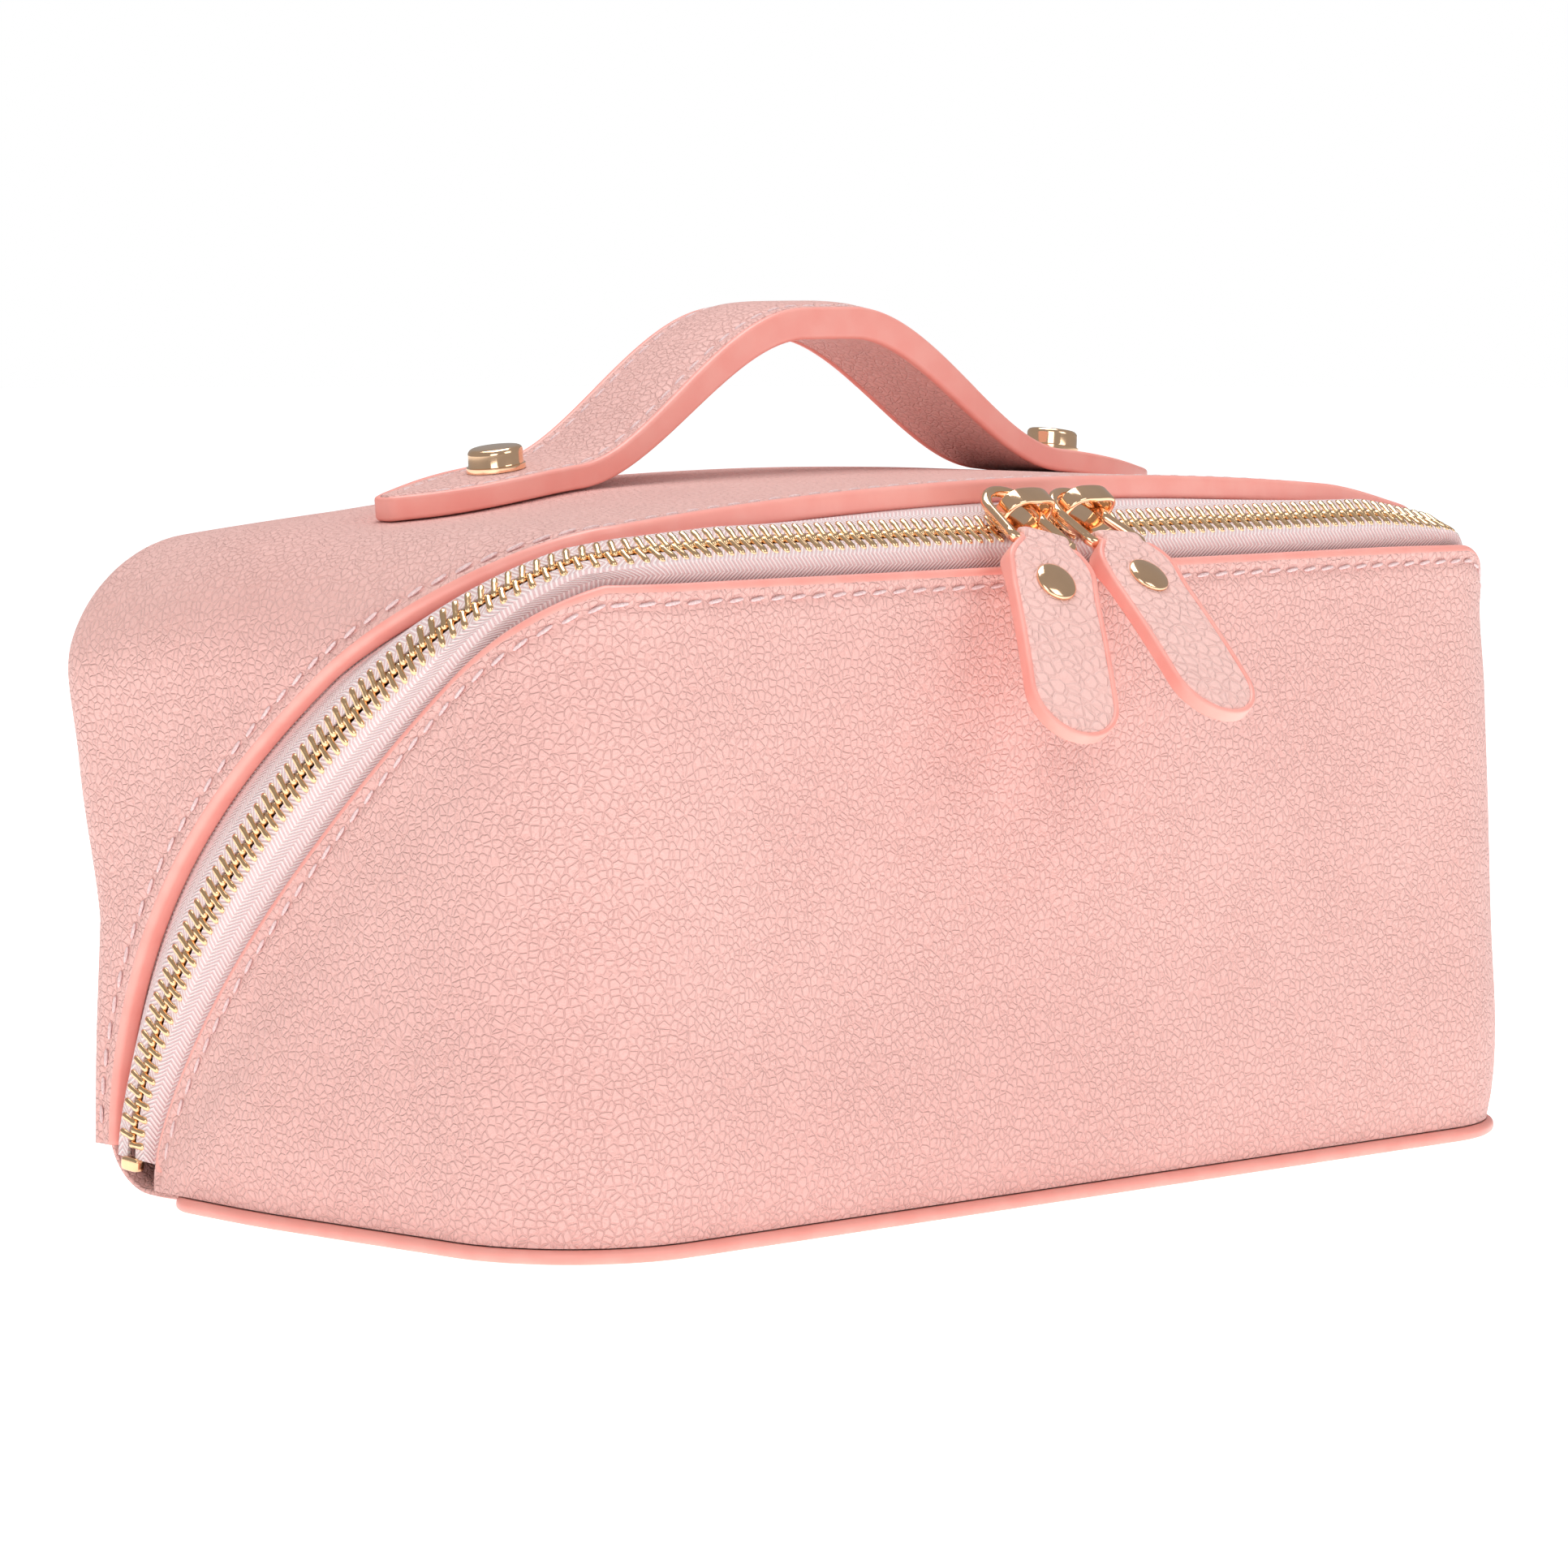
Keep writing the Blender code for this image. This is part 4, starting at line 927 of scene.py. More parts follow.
def base_leather():
    line = closed_evenly(base_line(inset=1.6 * MM), 200)
    heights = (0.12 * MM, BASE_THICKNESS - 0.12 * MM)
    rings = np.stack([np.column_stack((line, np.full(len(line), z))) for z in heights])
    return rings_piece("base_leather", rings, LEATHER, "tray", slot="base_leather", replaces=["base_panel"],
                       sharp=40)


def hinge_leather():
    """The bend's side view is a straight start, a quarter circle and a short upright."""
    radius, half = 12 * MM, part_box("hinge_strip")[1].x
    turn = np.linspace(-math.pi / 2, 0.0, 36)
    bend = np.column_stack((BACK - radius + radius * np.cos(turn), radius + radius * np.sin(turn)))
    start = np.column_stack((np.linspace(BASE_BACK + GAP, BACK - radius, 12, endpoint=False), np.zeros(12)))
    end = np.column_stack((np.full(4, BACK), np.linspace(radius, PANEL_FOOT - 0.2 * MM, 5)[1:]))
    line = np.vstack((start, bend, end))
    inward = -np.column_stack((np.gradient(line[:, 1]), -np.gradient(line[:, 0])))
    inward = unit(inward)
    x = np.linspace(-half, half, 90)
    rim = np.minimum(1.0, (half - np.abs(x)) / (1.2 * MM) + 0.35)

    def face(depth):
        yz = line[:, None] + inward[:, None] * depth[None, :, None]
        return np.concatenate((np.broadcast_to(x, yz.shape[:2])[..., None], yz), axis=-1)

    middle = BASE_THICKNESS / 2
    made = two_faces("hinge_leather", face(middle - middle * rim), face(middle + middle * rim), LEATHER, None,
                     slot="leather", replaces=["hinge_strip"])
    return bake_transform(made)


base_rim()
base_leather()
hinge_leather()
for node, finish in {"base_board": CARD, "floor_lining": CLOTH,
                     "handle_washer_left": GOLD, "handle_washer_right": GOLD}.items():
    NODES[node].data.materials.clear()
    NODES[node].data.materials.append(finish)
print("base, hinge bend and inner parts finished")

# %% [markdown]
# Both leather edges are sealed with paint. It is a rounded band carried along each edge: thick on the lid,
# where the whole cut faces the zip, and slim on the tray. The stitches are short thick threads that lie in
# the groove, each a long bead that tips slightly, with its ends sunk into the leather.

# %% Painted edges and stitches


def painted_edge(side, width, height, proud, radius):
    """A rounded band along an edge: width through the leather, height down the leather from the cut."""
    edge, _, outward, toward = edge_frame(side)
    section = rounded_section(width, height, radius, 6)
    across = section[:, 0] + 0.14 * MM - width / 2
    up = section[:, 1] + proud - height / 2
    rings = edge[:, None] + outward[:, None] * across[None, :, None] + toward[:, None] * up[None, :, None]
    return rings_piece(side + "_edge_paint", rings, PAINT, side)


painted_edge("tray", 2.9 * MM, 2.2 * MM, 0.15 * MM, 1.0 * MM)
painted_edge("lid", 4.0 * MM, 2.3 * MM, 0.15 * MM, 1.1 * MM)

STITCH_SLANT, THREAD_RADIUS = 0.13, 0.34 * MM
# place along the stitch and thickness there, as shares of its half length and its radius
STITCH_BEAD = np.array([[-1.0, 0.25], [-0.82, 0.75], [-0.4, 1.0], [0.4, 1.0], [0.82, 0.75], [1.0, 0.25]])


def beads(centres, along, side, up, half_length, half_width, half_height, around=6):
    """Many small beads at once: one six-sided bead, copied to each centre and its three directions."""
    a = np.linspace(0.0, 2 * math.pi, around, endpoint=False)
    ring = np.stack([np.column_stack((np.full(around, s * half_length), half_width * r * np.cos(a),
                                      half_height * r * np.sin(a))) for s, r in STITCH_BEAD])
    return copies(ring, centres, along, side, up)


def copies(rings, centres, along, side, up):
    """Points and faces of one closed ring body repeated at many places, each with its own directions."""
    count, around = rings.shape[:2]
    local = np.vstack((rings.reshape(-1, 3), rings[0].mean(0), rings[-1].mean(0)))
    j = np.arange(around)
    square = quads(count, around, wrap_columns=True)
    first, last = count * around, count * around + 1
    after, base = (j + 1) % around, first - around
    tips = np.vstack((np.column_stack((np.full(around, first), after, j)),
                      np.column_stack((np.full(around, last), base + j, base + after))))
    axes = np.stack((along, side, up), axis=1)
    points = centres[:, None] + np.einsum("pk,nkc->npc", local, axes)
    shift = np.arange(len(centres))[:, None, None] * len(local)
    faces = (square[None] + shift).reshape(-1, 4).tolist() + (tips[None] + shift).reshape(-1, 3).tolist()
    return points.reshape(-1, 3), faces


def at_runs(points, runs, wanted):
    return np.column_stack([np.interp(wanted, runs, points[:, k]) for k in range(3)])


def edge_stitches(side, line, lift):
    """Stitches along a leather edge, at a set distance from its cut."""
    edge, along, outward, toward = edge_frame(side)
    seam = edge - toward * line + outward * lift
    runs = running_length(edge)
    wanted = np.arange(1.0, math.floor(runs[-1] / STITCH_PITCH)) * STITCH_PITCH
    centres = at_runs(seam, runs, wanted)
    if side == "lid":
        centres = settle_lid(centres)
    else:
        centres = settle_tray(centres, centres[:, 2] + line)
    direction, outwards = unit(at_runs(along, runs, wanted)), unit(at_runs(outward, runs, wanted))
    slanted = unit(direction + STITCH_SLANT * np.cross(outwards, direction))
    sideways = np.cross(outwards, slanted)
    points, faces = beads(centres, slanted, sideways, outwards, 1.55 * MM, THREAD_RADIUS, THREAD_RADIUS)
    return facing_out(shown(side + "_edge_stitches", points, faces, THREAD, side))


edge_stitches("tray", TRAY_STITCH, -0.05 * MM)
edge_stitches("lid", LID_STITCH, -0.05 * MM)

# %% [markdown]
# The tape is a thin woven band. Its sewn margin hides behind the leather, it comes out under the painted edge
# and ends under the teeth, which are clamped on it. Each half is one grid: rows across the tape, columns
# along the zip, with its map in metres.

# %% Tape margins


def onto_round(a, b, centre_a, centre_b, radius):
    """Moves points beyond a rounded corner's centre lines onto the corner's arc."""
    over_a, over_b = a - centre_a, b - centre_b
    share = radius / np.maximum(np.hypot(over_a, over_b), 1e-9)
    return centre_a + over_a * share, centre_b + over_b * share


def onto_tray(points, inset):
    """Points moved onto the face that lies this far inside the tray's wall."""
    points = points.copy()
    side = np.where(points[:, 0] < 0, -1.0, 1.0)
    x, y = np.abs(points[:, 0]), points[:, 1]
    centre_x, centre_y = SIDE - FRONT_CORNER_RADIUS, FRONT + FRONT_CORNER_RADIUS
    turn_x, turn_y = onto_round(x, y, centre_x, centre_y, FRONT_CORNER_RADIUS - inset)
    corner = (x > centre_x) & (y < centre_y)
    end = (x > centre_x) & ~corner
    points[:, 0] = side * np.where(corner, turn_x, np.where(end, SIDE - inset, x))
    points[:, 1] = np.where(corner, turn_y, np.where(end, y, FRONT + inset))
    return points


def onto_lid(points, inset):
    """Points moved onto the face that lies this far inside the lid."""
    points = points.copy()
    side = np.where(points[:, 0] < 0, -1.0, 1.0)
    x, z = np.abs(points[:, 0]), points[:, 2]
    turn_x, turn_z = onto_round(x, z, CORNER_X, CORNER_Z, END_TOP_RADIUS - inset)
    corner = (x > CORNER_X) & (z > CORNER_Z)
    end = (x > CORNER_X) & ~corner
    points[:, 0] = side * np.where(corner, turn_x, np.where(end, SIDE - inset, x))
    points[:, 2] = np.where(corner, turn_z, np.where(end, z, crown_z(np.minimum(x, CORNER_X)) - inset))
    return points


def tape_tail(side):
    """The line where the tape's sewn margin ends, inside the tray or the lid."""
    border, inward, across = PATH["tape_" + side], PATH[side + "_in"], PATH["across"]
    toward, settle = (-1.0, onto_tray) if side == "tray" else (1.0, onto_lid)
    flat = across - inward * np.sum(across * inward, axis=1, keepdims=True)
    tail = settle(border + toward * 6 * MM * unit(flat), TAPE_INSET)
    tail[:, 1] = np.minimum(tail[:, 1], BACK - WALL - LINING - 3 * GAP)
    tail[:, 2] = np.maximum(tail[:, 2], FLOOR_TOP + TAPE)
    return tail


def tape(side):
    """Half of the tape: margin, free band with a slight curve, and the end under the teeth."""
    toward = -1.0 if side == "tray" else 1.0
    middle, across, out = PATH["middle"], PATH["across"], PATH["out"]
    border, clamp = PATH["tape_" + side], middle + toward * 3.6 * MM * across
    inner_end = middle + toward * 1.1 * MM * across
    share = np.linspace(0.0, 1.0, 5)[:-1, None, None]
    rows = [tape_tail(side) * (1 - share) + border * share]
    share = np.linspace(0.0, 1.0, 14)[:-1, None, None]
    arched = 0.35 * MM * np.sin(math.pi * share)
    rows.append(border * (1 - share) + clamp * share + out * arched)
    share = np.linspace(0.0, 1.0, 4)[:, None, None]
    rows.append(clamp * (1 - share) + inner_end * share)
    face = np.concatenate(rows)
    down, over = np.gradient(face, axis=0), np.gradient(face, axis=1)
    normal = unit(np.cross(over, down))
    normal *= np.where(np.sum(normal * out, axis=-1, keepdims=True) < 0, -1.0, 1.0)
    steps = np.linalg.norm(np.diff(face, axis=0), axis=-1)
    v = np.concatenate((np.zeros((1, face.shape[1])), np.cumsum(steps, 0)))
    u = np.broadcast_to(CHAIN_RUN, v.shape)
    both = np.concatenate((face + normal * TAPE / 2, (face - normal * TAPE / 2)[::-1])).transpose(1, 0, 2)
    uv = np.stack((np.concatenate((u, u[::-1])), np.concatenate((v, v[::-1]))), axis=-1).transpose(1, 0, 2)
    uv = np.vstack((uv.reshape(-1, 2), uv[0].mean(0), uv[-1].mean(0)))
    return rings_piece(side + "_tape", both, TWILL, side, replaces=[side + "_zip_tape"], uv=uv, sharp=50)


tape("tray")
tape("lid")

# %% [markdown]
# A coarse metal zip has about ten teeth to the inch, so 2.54 mm from one tooth to the next on each row, with
# the two rows half a step apart. One tooth is a slim rounded leaf: legs clamped on the tape, a narrower neck,
# and a round head that locks between two heads of the other row. It has few faces, because it repeats.

# %% Zip teeth and stops
TOOTH_PITCH = 2.54 * MM
# reach from the middle of the zip, half width along it, half height, in millimetres
TOOTH = np.array([[-0.62, 0.36, 0.42], [-0.35, 0.64, 0.74], [0.2, 0.72, 0.86], [0.9, 0.58, 0.80],
                  [2.0, 0.68, 0.92], [2.9, 0.70, 0.84], [3.4, 0.42, 0.52]]) * MM


def teeth(side):
    """One row of teeth: a ring body along its reach, repeated by running length along the zip."""
    toward = -1.0 if side == "tray" else 1.0
    start = TOOTH_PITCH * (0.9 if side == "tray" else 1.4)
    wanted = np.arange(start, CHAIN_RUN[-1] - 0.5 * TOOTH_PITCH, TOOTH_PITCH)
    middle = at_runs(PATH["middle"], CHAIN_RUN, wanted)
    across = toward * unit(at_runs(PATH["across"], CHAIN_RUN, wanted))
    out = unit(at_runs(PATH["out"], CHAIN_RUN, wanted))
    along = np.cross(across, out)
    lean = 0.10
    across = unit(across + lean * along * toward)
    a = np.linspace(0.0, 2 * math.pi, 8, endpoint=False) + math.pi / 8
    rings = np.stack([np.column_stack((np.full(8, reach), wide * np.cos(a), high * np.sin(a)))
                      for reach, wide, high in TOOTH])
    points, faces = copies(rings, middle, across, np.cross(out, across), out)
    made = facing_out(shown(side + "_teeth", points, faces, TEETH_GOLD, side, slot="gold",
                            replaces=[side + "_chain"]))
    print(side, "teeth:", len(wanted))
    return made


teeth("tray")
teeth("lid")


def squared(value):
    """Pushes a sine or cosine towards 1, which draws a ball out towards a box."""
    return np.sign(value) * np.abs(value) ** 0.45


def zip_stop(side, at, sign):
    """A small rounded block below the last teeth: a ball drawn out towards a box."""
    middle = PATH["middle"][at] + sign * PATH["along"][at] * 1.0 * MM
    size = (1.2 * MM, 2.4 * MM, 1.0 * MM)
    lat = np.linspace(-math.pi / 2, math.pi / 2, 14)[1:-1]
    lon = np.linspace(0.0, 2 * math.pi, 24, endpoint=False)
    rings = np.stack([np.column_stack((np.full(24, size[0] * squared(math.sin(b))),
                                       size[1] * squared(math.cos(b)) * squared(np.cos(lon)),
                                       size[2] * squared(math.cos(b)) * squared(np.sin(lon)))) for b in lat])
    axes = np.stack((PATH["along"][at], PATH["across"][at], PATH["out"][at]))
    return rings_piece("metal_stop_" + side, middle + rings @ axes, TEETH_GOLD, "tray", slot="gold",
                       replaces=["zip_stop_" + side])


zip_stop("left", 0, -1.0)
zip_stop("right", -1, 1.0)

# %% [markdown]
# Two sliders stand nose to nose on the front run. Each has a polished plate over the teeth, a plate under
# them and a post between, and a curled ribbon of metal that makes the bridge over the ring. The plates are
# outlines carried through a rounded profile: each step has its own inset and height.

# %% Slider bodies and bridges
SLIDER_LENGTH, SLIDER_WIDTH, PLATE = 13.2 * MM, 9.8 * MM, 1.1 * MM
PLATE_LOW = 1.2 * MM + GAP
LEFT_SLIDER_X, SLIDER_SPACING = -14 * MM, 15 * MM
CENTRE = len(PATH["middle"]) // 2
ALONG = np.array((1.0, 0.0, 0.0))
ACROSS, OUT = PATH["across"][CENTRE], PATH["out"][CENTRE]
SLIDERS = {"left": (LEFT_SLIDER_X, 1.0, math.radians(-24)),
           "right": (LEFT_SLIDER_X + SLIDER_SPACING, -1.0, math.radians(-8))}
HANG = {"left": math.radians(13), "right": math.radians(3)}


def on_slider(points, x, turn=0.0, lift=0.0):
    """Points in a slider's own frame (along the zip, up the tape, out of it) moved to their place."""
    points = np.asarray(points, float)
    cos, sin = math.cos(turn), math.sin(turn)
    a = points[..., 0] * cos - points[..., 1] * sin
    b = points[..., 0] * sin + points[..., 1] * cos
    origin = np.array((x, *PATH["middle"][CENTRE][1:]))
    return origin + a[..., None] * ALONG + b[..., None] * ACROSS + (points[..., 2:] + lift) * OUT


def slider_outline(length, width, waist, wide_end, steps=96):
    """A rounded plan, wide where the rows part and narrow at the closed end."""
    a = np.linspace(0.0, 2 * math.pi, steps, endpoint=False)
    soft = 0.62
    x = length / 2 * np.sign(np.cos(a)) * np.abs(np.cos(a)) ** soft
    spread = waist + (1 - waist) * smooth(x * wide_end, -length / 3, length / 2.6)
    y = width / 2 * np.sign(np.sin(a)) * np.abs(np.sin(a)) ** soft * spread
    return np.column_stack((x, y))


def profile_rings(line, profile):
    """An outline repeated at each (inset, height) step, drawn in towards its middle."""
    reach = np.linalg.norm(line, axis=1).min()
    return np.stack([np.column_stack((line * (1 - inset / reach), np.full(len(line), z)))
                     for inset, z in profile])


def slider(side):
    x, wide_end, _ = SLIDERS[side]
    low, high = PLATE_LOW, PLATE_LOW + PLATE
    top = [(0.5, low), (0.12, low + 0.10 * MM), (0.0, low + 0.3 * MM), (0.0, high - 0.6 * MM),
           (0.15, high - 0.38 * MM), (0.5, high - 0.22 * MM), (1.2, high - 0.14 * MM),
           (3.2, high - 0.10 * MM)]
    top = [(inset * MM, z) for inset, z in top]
    plan = slider_outline(SLIDER_LENGTH, SLIDER_WIDTH, 0.80, wide_end)
    rings_piece("slider_plate_" + side, on_slider(profile_rings(plan, top), x), GOLD, "slider_" + side,
                slot="gold", replaces=["slider_" + side])
    under = [(0.4, -high), (0.0, -high + 0.3 * MM), (0.0, -low - 0.3 * MM), (0.4, -low)]
    under = [(inset * MM, z) for inset, z in under]
    plan = slider_outline(SLIDER_LENGTH, 7.2 * MM, 0.80, wide_end)
    rings_piece("slider_under_" + side, on_slider(profile_rings(plan, under), x), GOLD, "slider_" + side)
    post = slider_outline(4.4 * MM, 0.7 * MM, 1.0, wide_end) + (wide_end * 3.4 * MM, 0.0)
    reach = low + 0.5 * MM
    rings = np.stack([np.column_stack((post, np.full(len(post), z))) for z in (-reach, reach)])
    rings_piece("slider_post_" + side, on_slider(rings, x), GOLD, "slider_" + side, sharp=40)


def bridge(side):
    """A ribbon along a rounded arch, wide and flat in the middle and narrower at its feet."""
    x = SLIDERS[side][0]
    a = np.linspace(math.pi, 0.0, 70)
    reach, rise, foot = 5.3 * MM, 4.9 * MM, PLATE_LOW + 0.7 * PLATE
    bend = 0.55
    path = np.column_stack((reach * np.sign(np.cos(a)) * np.abs(np.cos(a)) ** bend, np.zeros(len(a)),
                            foot + rise * np.abs(np.sin(a)) ** bend))
    path = evenly(path, 70)
    wide = 2.8 * MM + 0.9 * MM * np.sin(np.linspace(0, math.pi, 70)) ** 2
    section = np.stack([rounded_section(1.15 * MM, w, 0.5 * MM, 5) for w in wide])
    rings = along_path(path, (0, 1, 0), section)
    return rings_piece("slider_bridge_" + side, on_slider(rings, x), GOLD, "slider_" + side)


for side_name in SLIDERS:
    slider(side_name)
    bridge(side_name)

# %% [markdown]
# The ring is round wire, bent into a loop: a straight bar inside the fold of the puller, two legs, and a
# round end that passes under the bridge. It is a circle carried along the closed line of the wire.

# %% Rings
RING_WIRE, RING_HALF, RING_ARC, RING_SHIFT, RING_REACH = 0.95 * MM, 6 * MM, 5.2 * MM, -3.2 * MM, 10.5 * MM
HUB = PLATE_LOW + PLATE + 2.2 * MM


def ring_line(corner=1.5 * MM):
    """The wire's line, flat in its own plane, closed."""
    low = corner - RING_REACH
    parts = []
    for sign, start in ((-1, 1.0), (1, 1.5)):
        a = np.linspace(start * math.pi, (start + 0.5) * math.pi, 10)
        middle = sign * (RING_HALF - corner)
        parts.append(np.column_stack((middle + corner * np.cos(a), low + corner * np.sin(a))))
    a = np.linspace(math.radians(-8), math.radians(188), 60)
    parts.append(np.column_stack((RING_SHIFT + RING_ARC * np.cos(a), RING_ARC * (np.sin(a) - 0.5))))
    return closed_evenly(np.vstack(parts), 150)


def ring(side):
    x, _, lean = SLIDERS[side]
    line = ring_line()
    path = np.column_stack((line, np.zeros(len(line))))
    rings = on_slider(along_path(path, (0, 0, 1), circle(RING_WIRE, 18), closed=True), x, lean, HUB)
    return rings_piece("puller_ring_" + side, rings, GOLD, "ring_" + side, closed=True, slot="gold",
                       replaces=["pull_ring_" + side])


for side_name in SLIDERS:
    ring(side_name)

# %% [markdown]
# Each puller is a strip of leather folded round the ring's bar and riveted to itself, with a round tip. Its
# cut edge is painted. The leather is a rounded section carried down the strip, as wide as the outline at each
# point. The paint is a bead that follows the same outline round the tip. Both hang from the bar a little
# nearer to the wall than the ring does.

# %% Pullers
TAB_HALF, TAB_LENGTH, TAB_THICK = 8.4 * MM, 41 * MM, 4.6 * MM
TAB_TIP = -RING_REACH - TAB_LENGTH
FOLD_HALF = 5.0 * MM
THIN = 1.7 * MM
RIVET_Y = -RING_REACH - 9.5 * MM


def hung(points, side):
    """Points of a puller turned about the ring's bar towards the wall, then placed like the ring."""
    x, _, lean = SLIDERS[side]
    p = np.array(points, float)
    y, z = p[..., 1] + RING_REACH, p[..., 2].copy()
    cos, sin = math.cos(HANG[side]), math.sin(HANG[side])
    p[..., 1], p[..., 2] = y * cos - z * sin - RING_REACH, y * sin + z * cos
    return on_slider(p, x, lean, HUB)


def tab_half_width(y, trim=0.0):
    """Half width of the puller: the fold round the bar, a shoulder, the strip and the half-round tip."""
    shoulder = smooth(-y, RING_REACH + 1.0 * MM, RING_REACH + 6.5 * MM)
    strip = FOLD_HALF + (TAB_HALF - FOLD_HALF) * np.sqrt(shoulder)
    tip = np.clip(y - TAB_TIP - trim, 0.0, None)
    radius = TAB_HALF - trim
    round_end = np.where(tip < radius, np.sqrt(np.clip(radius ** 2 - (radius - tip) ** 2, 0.0, None)), radius)
    return np.minimum(strip - trim, round_end)


def tab_sag(y):
    """The strip bows away from its own plane, most in the middle."""
    share = np.clip((-RING_REACH - y) / TAB_LENGTH, 0.0, 1.0)
    return 0.5 * MM * np.sin(math.pi * share) - 0.6 * MM * share ** 3


def tab(side):
    trim = 0.55 * MM
    t = np.linspace(0.0, 1.0, 110)
    top, tip = -RING_REACH + TAB_THICK / 2 - 0.1 * MM, TAB_TIP + trim
    y = tip + (top - tip) * (0.5 - 0.5 * np.cos(math.pi * t))
    y = np.clip(y, tip + 0.02 * MM, top - 0.02 * MM)
    half = tab_half_width(y, trim)
    fold = np.sqrt(np.clip(1 - (np.clip(y + RING_REACH, 0.0, None) / (TAB_THICK / 2)) ** 2, 0.02, 1.0))
    thick = (TAB_THICK - 0.5 * MM - THIN * smooth(-y, RING_REACH + 2 * MM, RING_REACH + 12 * MM)) * fold
    thick *= 0.35 + 0.65 * smooth(y, TAB_TIP, TAB_TIP + 1.6 * MM)
    dent = 0.35 * MM * np.exp(-((y - RIVET_Y) / (5.5 * MM)) ** 2)
    sections = []
    for k in range(len(y)):
        flat = rounded_section(2 * half[k], thick[k], 0.9 * MM, 6)
        flat = closed_evenly(flat, 72)
        near = 1 - np.clip(np.abs(flat[:, 0]) / max(half[k], 1e-5), 0, 1) ** 2
        puffed = flat[:, 1] + np.sign(flat[:, 1]) * near * (0.30 * MM - dent[k]) * (thick[k] / TAB_THICK)
        sections.append(np.column_stack((flat[:, 0], np.full(72, y[k]), puffed + tab_sag(y[k]))))
    return rings_piece("puller_leather_" + side, hung(np.stack(sections), side), PULL_LEATHER,
                       "tab_" + side, slot="leather", replaces=["pull_tab_" + side])


def tab_paint(side):
    """A bead along the puller's outline, from one end of the fold round the tip to the other."""
    trim = 0.45 * MM
    top = -RING_REACH + 0.6 * MM
    a = np.linspace(0.0, 1.0, 240)
    y = TAB_TIP + trim + (top - TAB_TIP - trim) * (1 - np.sin(a * math.pi / 2))
    y = np.maximum(y, TAB_TIP + trim)
    left = np.column_stack((-tab_half_width(y, trim), y))
    line = np.vstack((left, left[-2::-1] * (-1, 1)))
    line = evenly(line, 230)
    path = np.column_stack((line, tab_sag(line[:, 1])))
    high = TAB_THICK - 0.35 * MM - THIN * smooth(-line[:, 1], RING_REACH + 2 * MM, RING_REACH + 12 * MM)
    section = np.stack([rounded_section(1.05 * MM, h, 0.5 * MM, 6) for h in high])
    ends = np.linspace(0.0, 1.0, 230)
    section *= np.minimum(1.0, 0.45 + 20 * np.minimum(ends, 1 - ends))[:, None, None]
    rings = along_path(path, (0, 0, 1), section)
    return rings_piece("puller_paint_" + side, hung(rings, side), PAINT, "tab_" + side)


def turned(name, profile, place, finish, body, steps=48, **facts):
    """A turned piece: each (radius, height) of its profile becomes a ring round the axis."""
    a = np.linspace(0.0, 2 * math.pi, steps, endpoint=False)
    rings = np.stack([np.column_stack((r * np.cos(a), r * np.sin(a), np.full(steps, z))) for r, z in profile])
    return rings_piece(name, place(rings), finish, body, **facts)


def dome(radius, height, foot, steps=9):
    """Profile of a low dome over a short upright rim, from its middle outwards."""
    a = np.linspace(0.0, math.pi / 2, steps)
    curve = [(max(radius * math.sin(b), 0.06 * MM), foot + 0.25 * MM + height * math.cos(b)) for b in a]
    return curve + [(radius, foot)]


def tab_rivet(side):
    face = TAB_THICK / 2 - 0.95 * MM
    front = dome(3.7 * MM, 0.95 * MM, face)
    back = [(r, -z) for r, z in dome(3.2 * MM, 0.6 * MM, face)][::-1]
    waist = [(1.6 * MM, face), (1.6 * MM, -face)]

    def place(rings):
        return hung(rings + (0.0, RIVET_Y, tab_sag(RIVET_Y)), side)

    return turned("puller_rivet_" + side, front + waist + back, place, GOLD, "tab_" + side, slot="gold",
                  replaces=["tab_rivet_" + side], sharp=50)


for side_name in SLIDERS:
    tab(side_name)
    tab_paint(side_name)
    tab_rivet(side_name)

# %% [markdown]
# The handle is one flat strap, pointed at both ends like a gothic arch in plan. It lies on the lid at its
# ends and rises in an S-shaped slope to a level top that clears the fingers. The leather is padded, its sides
# are painted, and a row of stitches follows each edge.

# %% Handle strap
HANDLE_HALF, HANDLE_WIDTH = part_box("handle_strap")[1].x, 22 * MM
HANDLE_FOOT, HANDLE_LEVEL, HANDLE_POINT, HANDLE_TIP = 60 * MM, 6 * MM, 26 * MM, 3 * MM
HANDLE_RISE = 22.5 * MM


def strap_width(x):
    """Even along its length, with each end a pointed arch that stops at a blunt tip."""
    left = np.clip((HANDLE_HALF - np.abs(x)) / HANDLE_POINT, 0.0, 1.0)
    return HANDLE_TIP + (HANDLE_WIDTH - HANDLE_TIP) * np.sin(left * math.pi / 2) ** 0.8


def strap_lift(x):
    """Share of the rise: level in the middle and an S-curve down to each foot."""
    return smooth(HANDLE_FOOT - np.abs(x), 0.0, HANDLE_FOOT - HANDLE_LEVEL)


def strap_frame(x):
    """Underside height, thickness and upward normal of the strap at each x."""
    lift = strap_lift(x)
    fine = np.linspace(-HANDLE_HALF, HANDLE_HALF, 1201)
    low = crown_z(fine) + GAP + HANDLE_RISE * strap_lift(fine)
    slope = np.interp(x, fine, np.gradient(low, fine))
    normal = unit(np.column_stack((-slope, np.zeros(len(x)), np.ones(len(x)))))
    return np.interp(x, fine, low), 4 * MM + 1.5 * MM * lift, normal


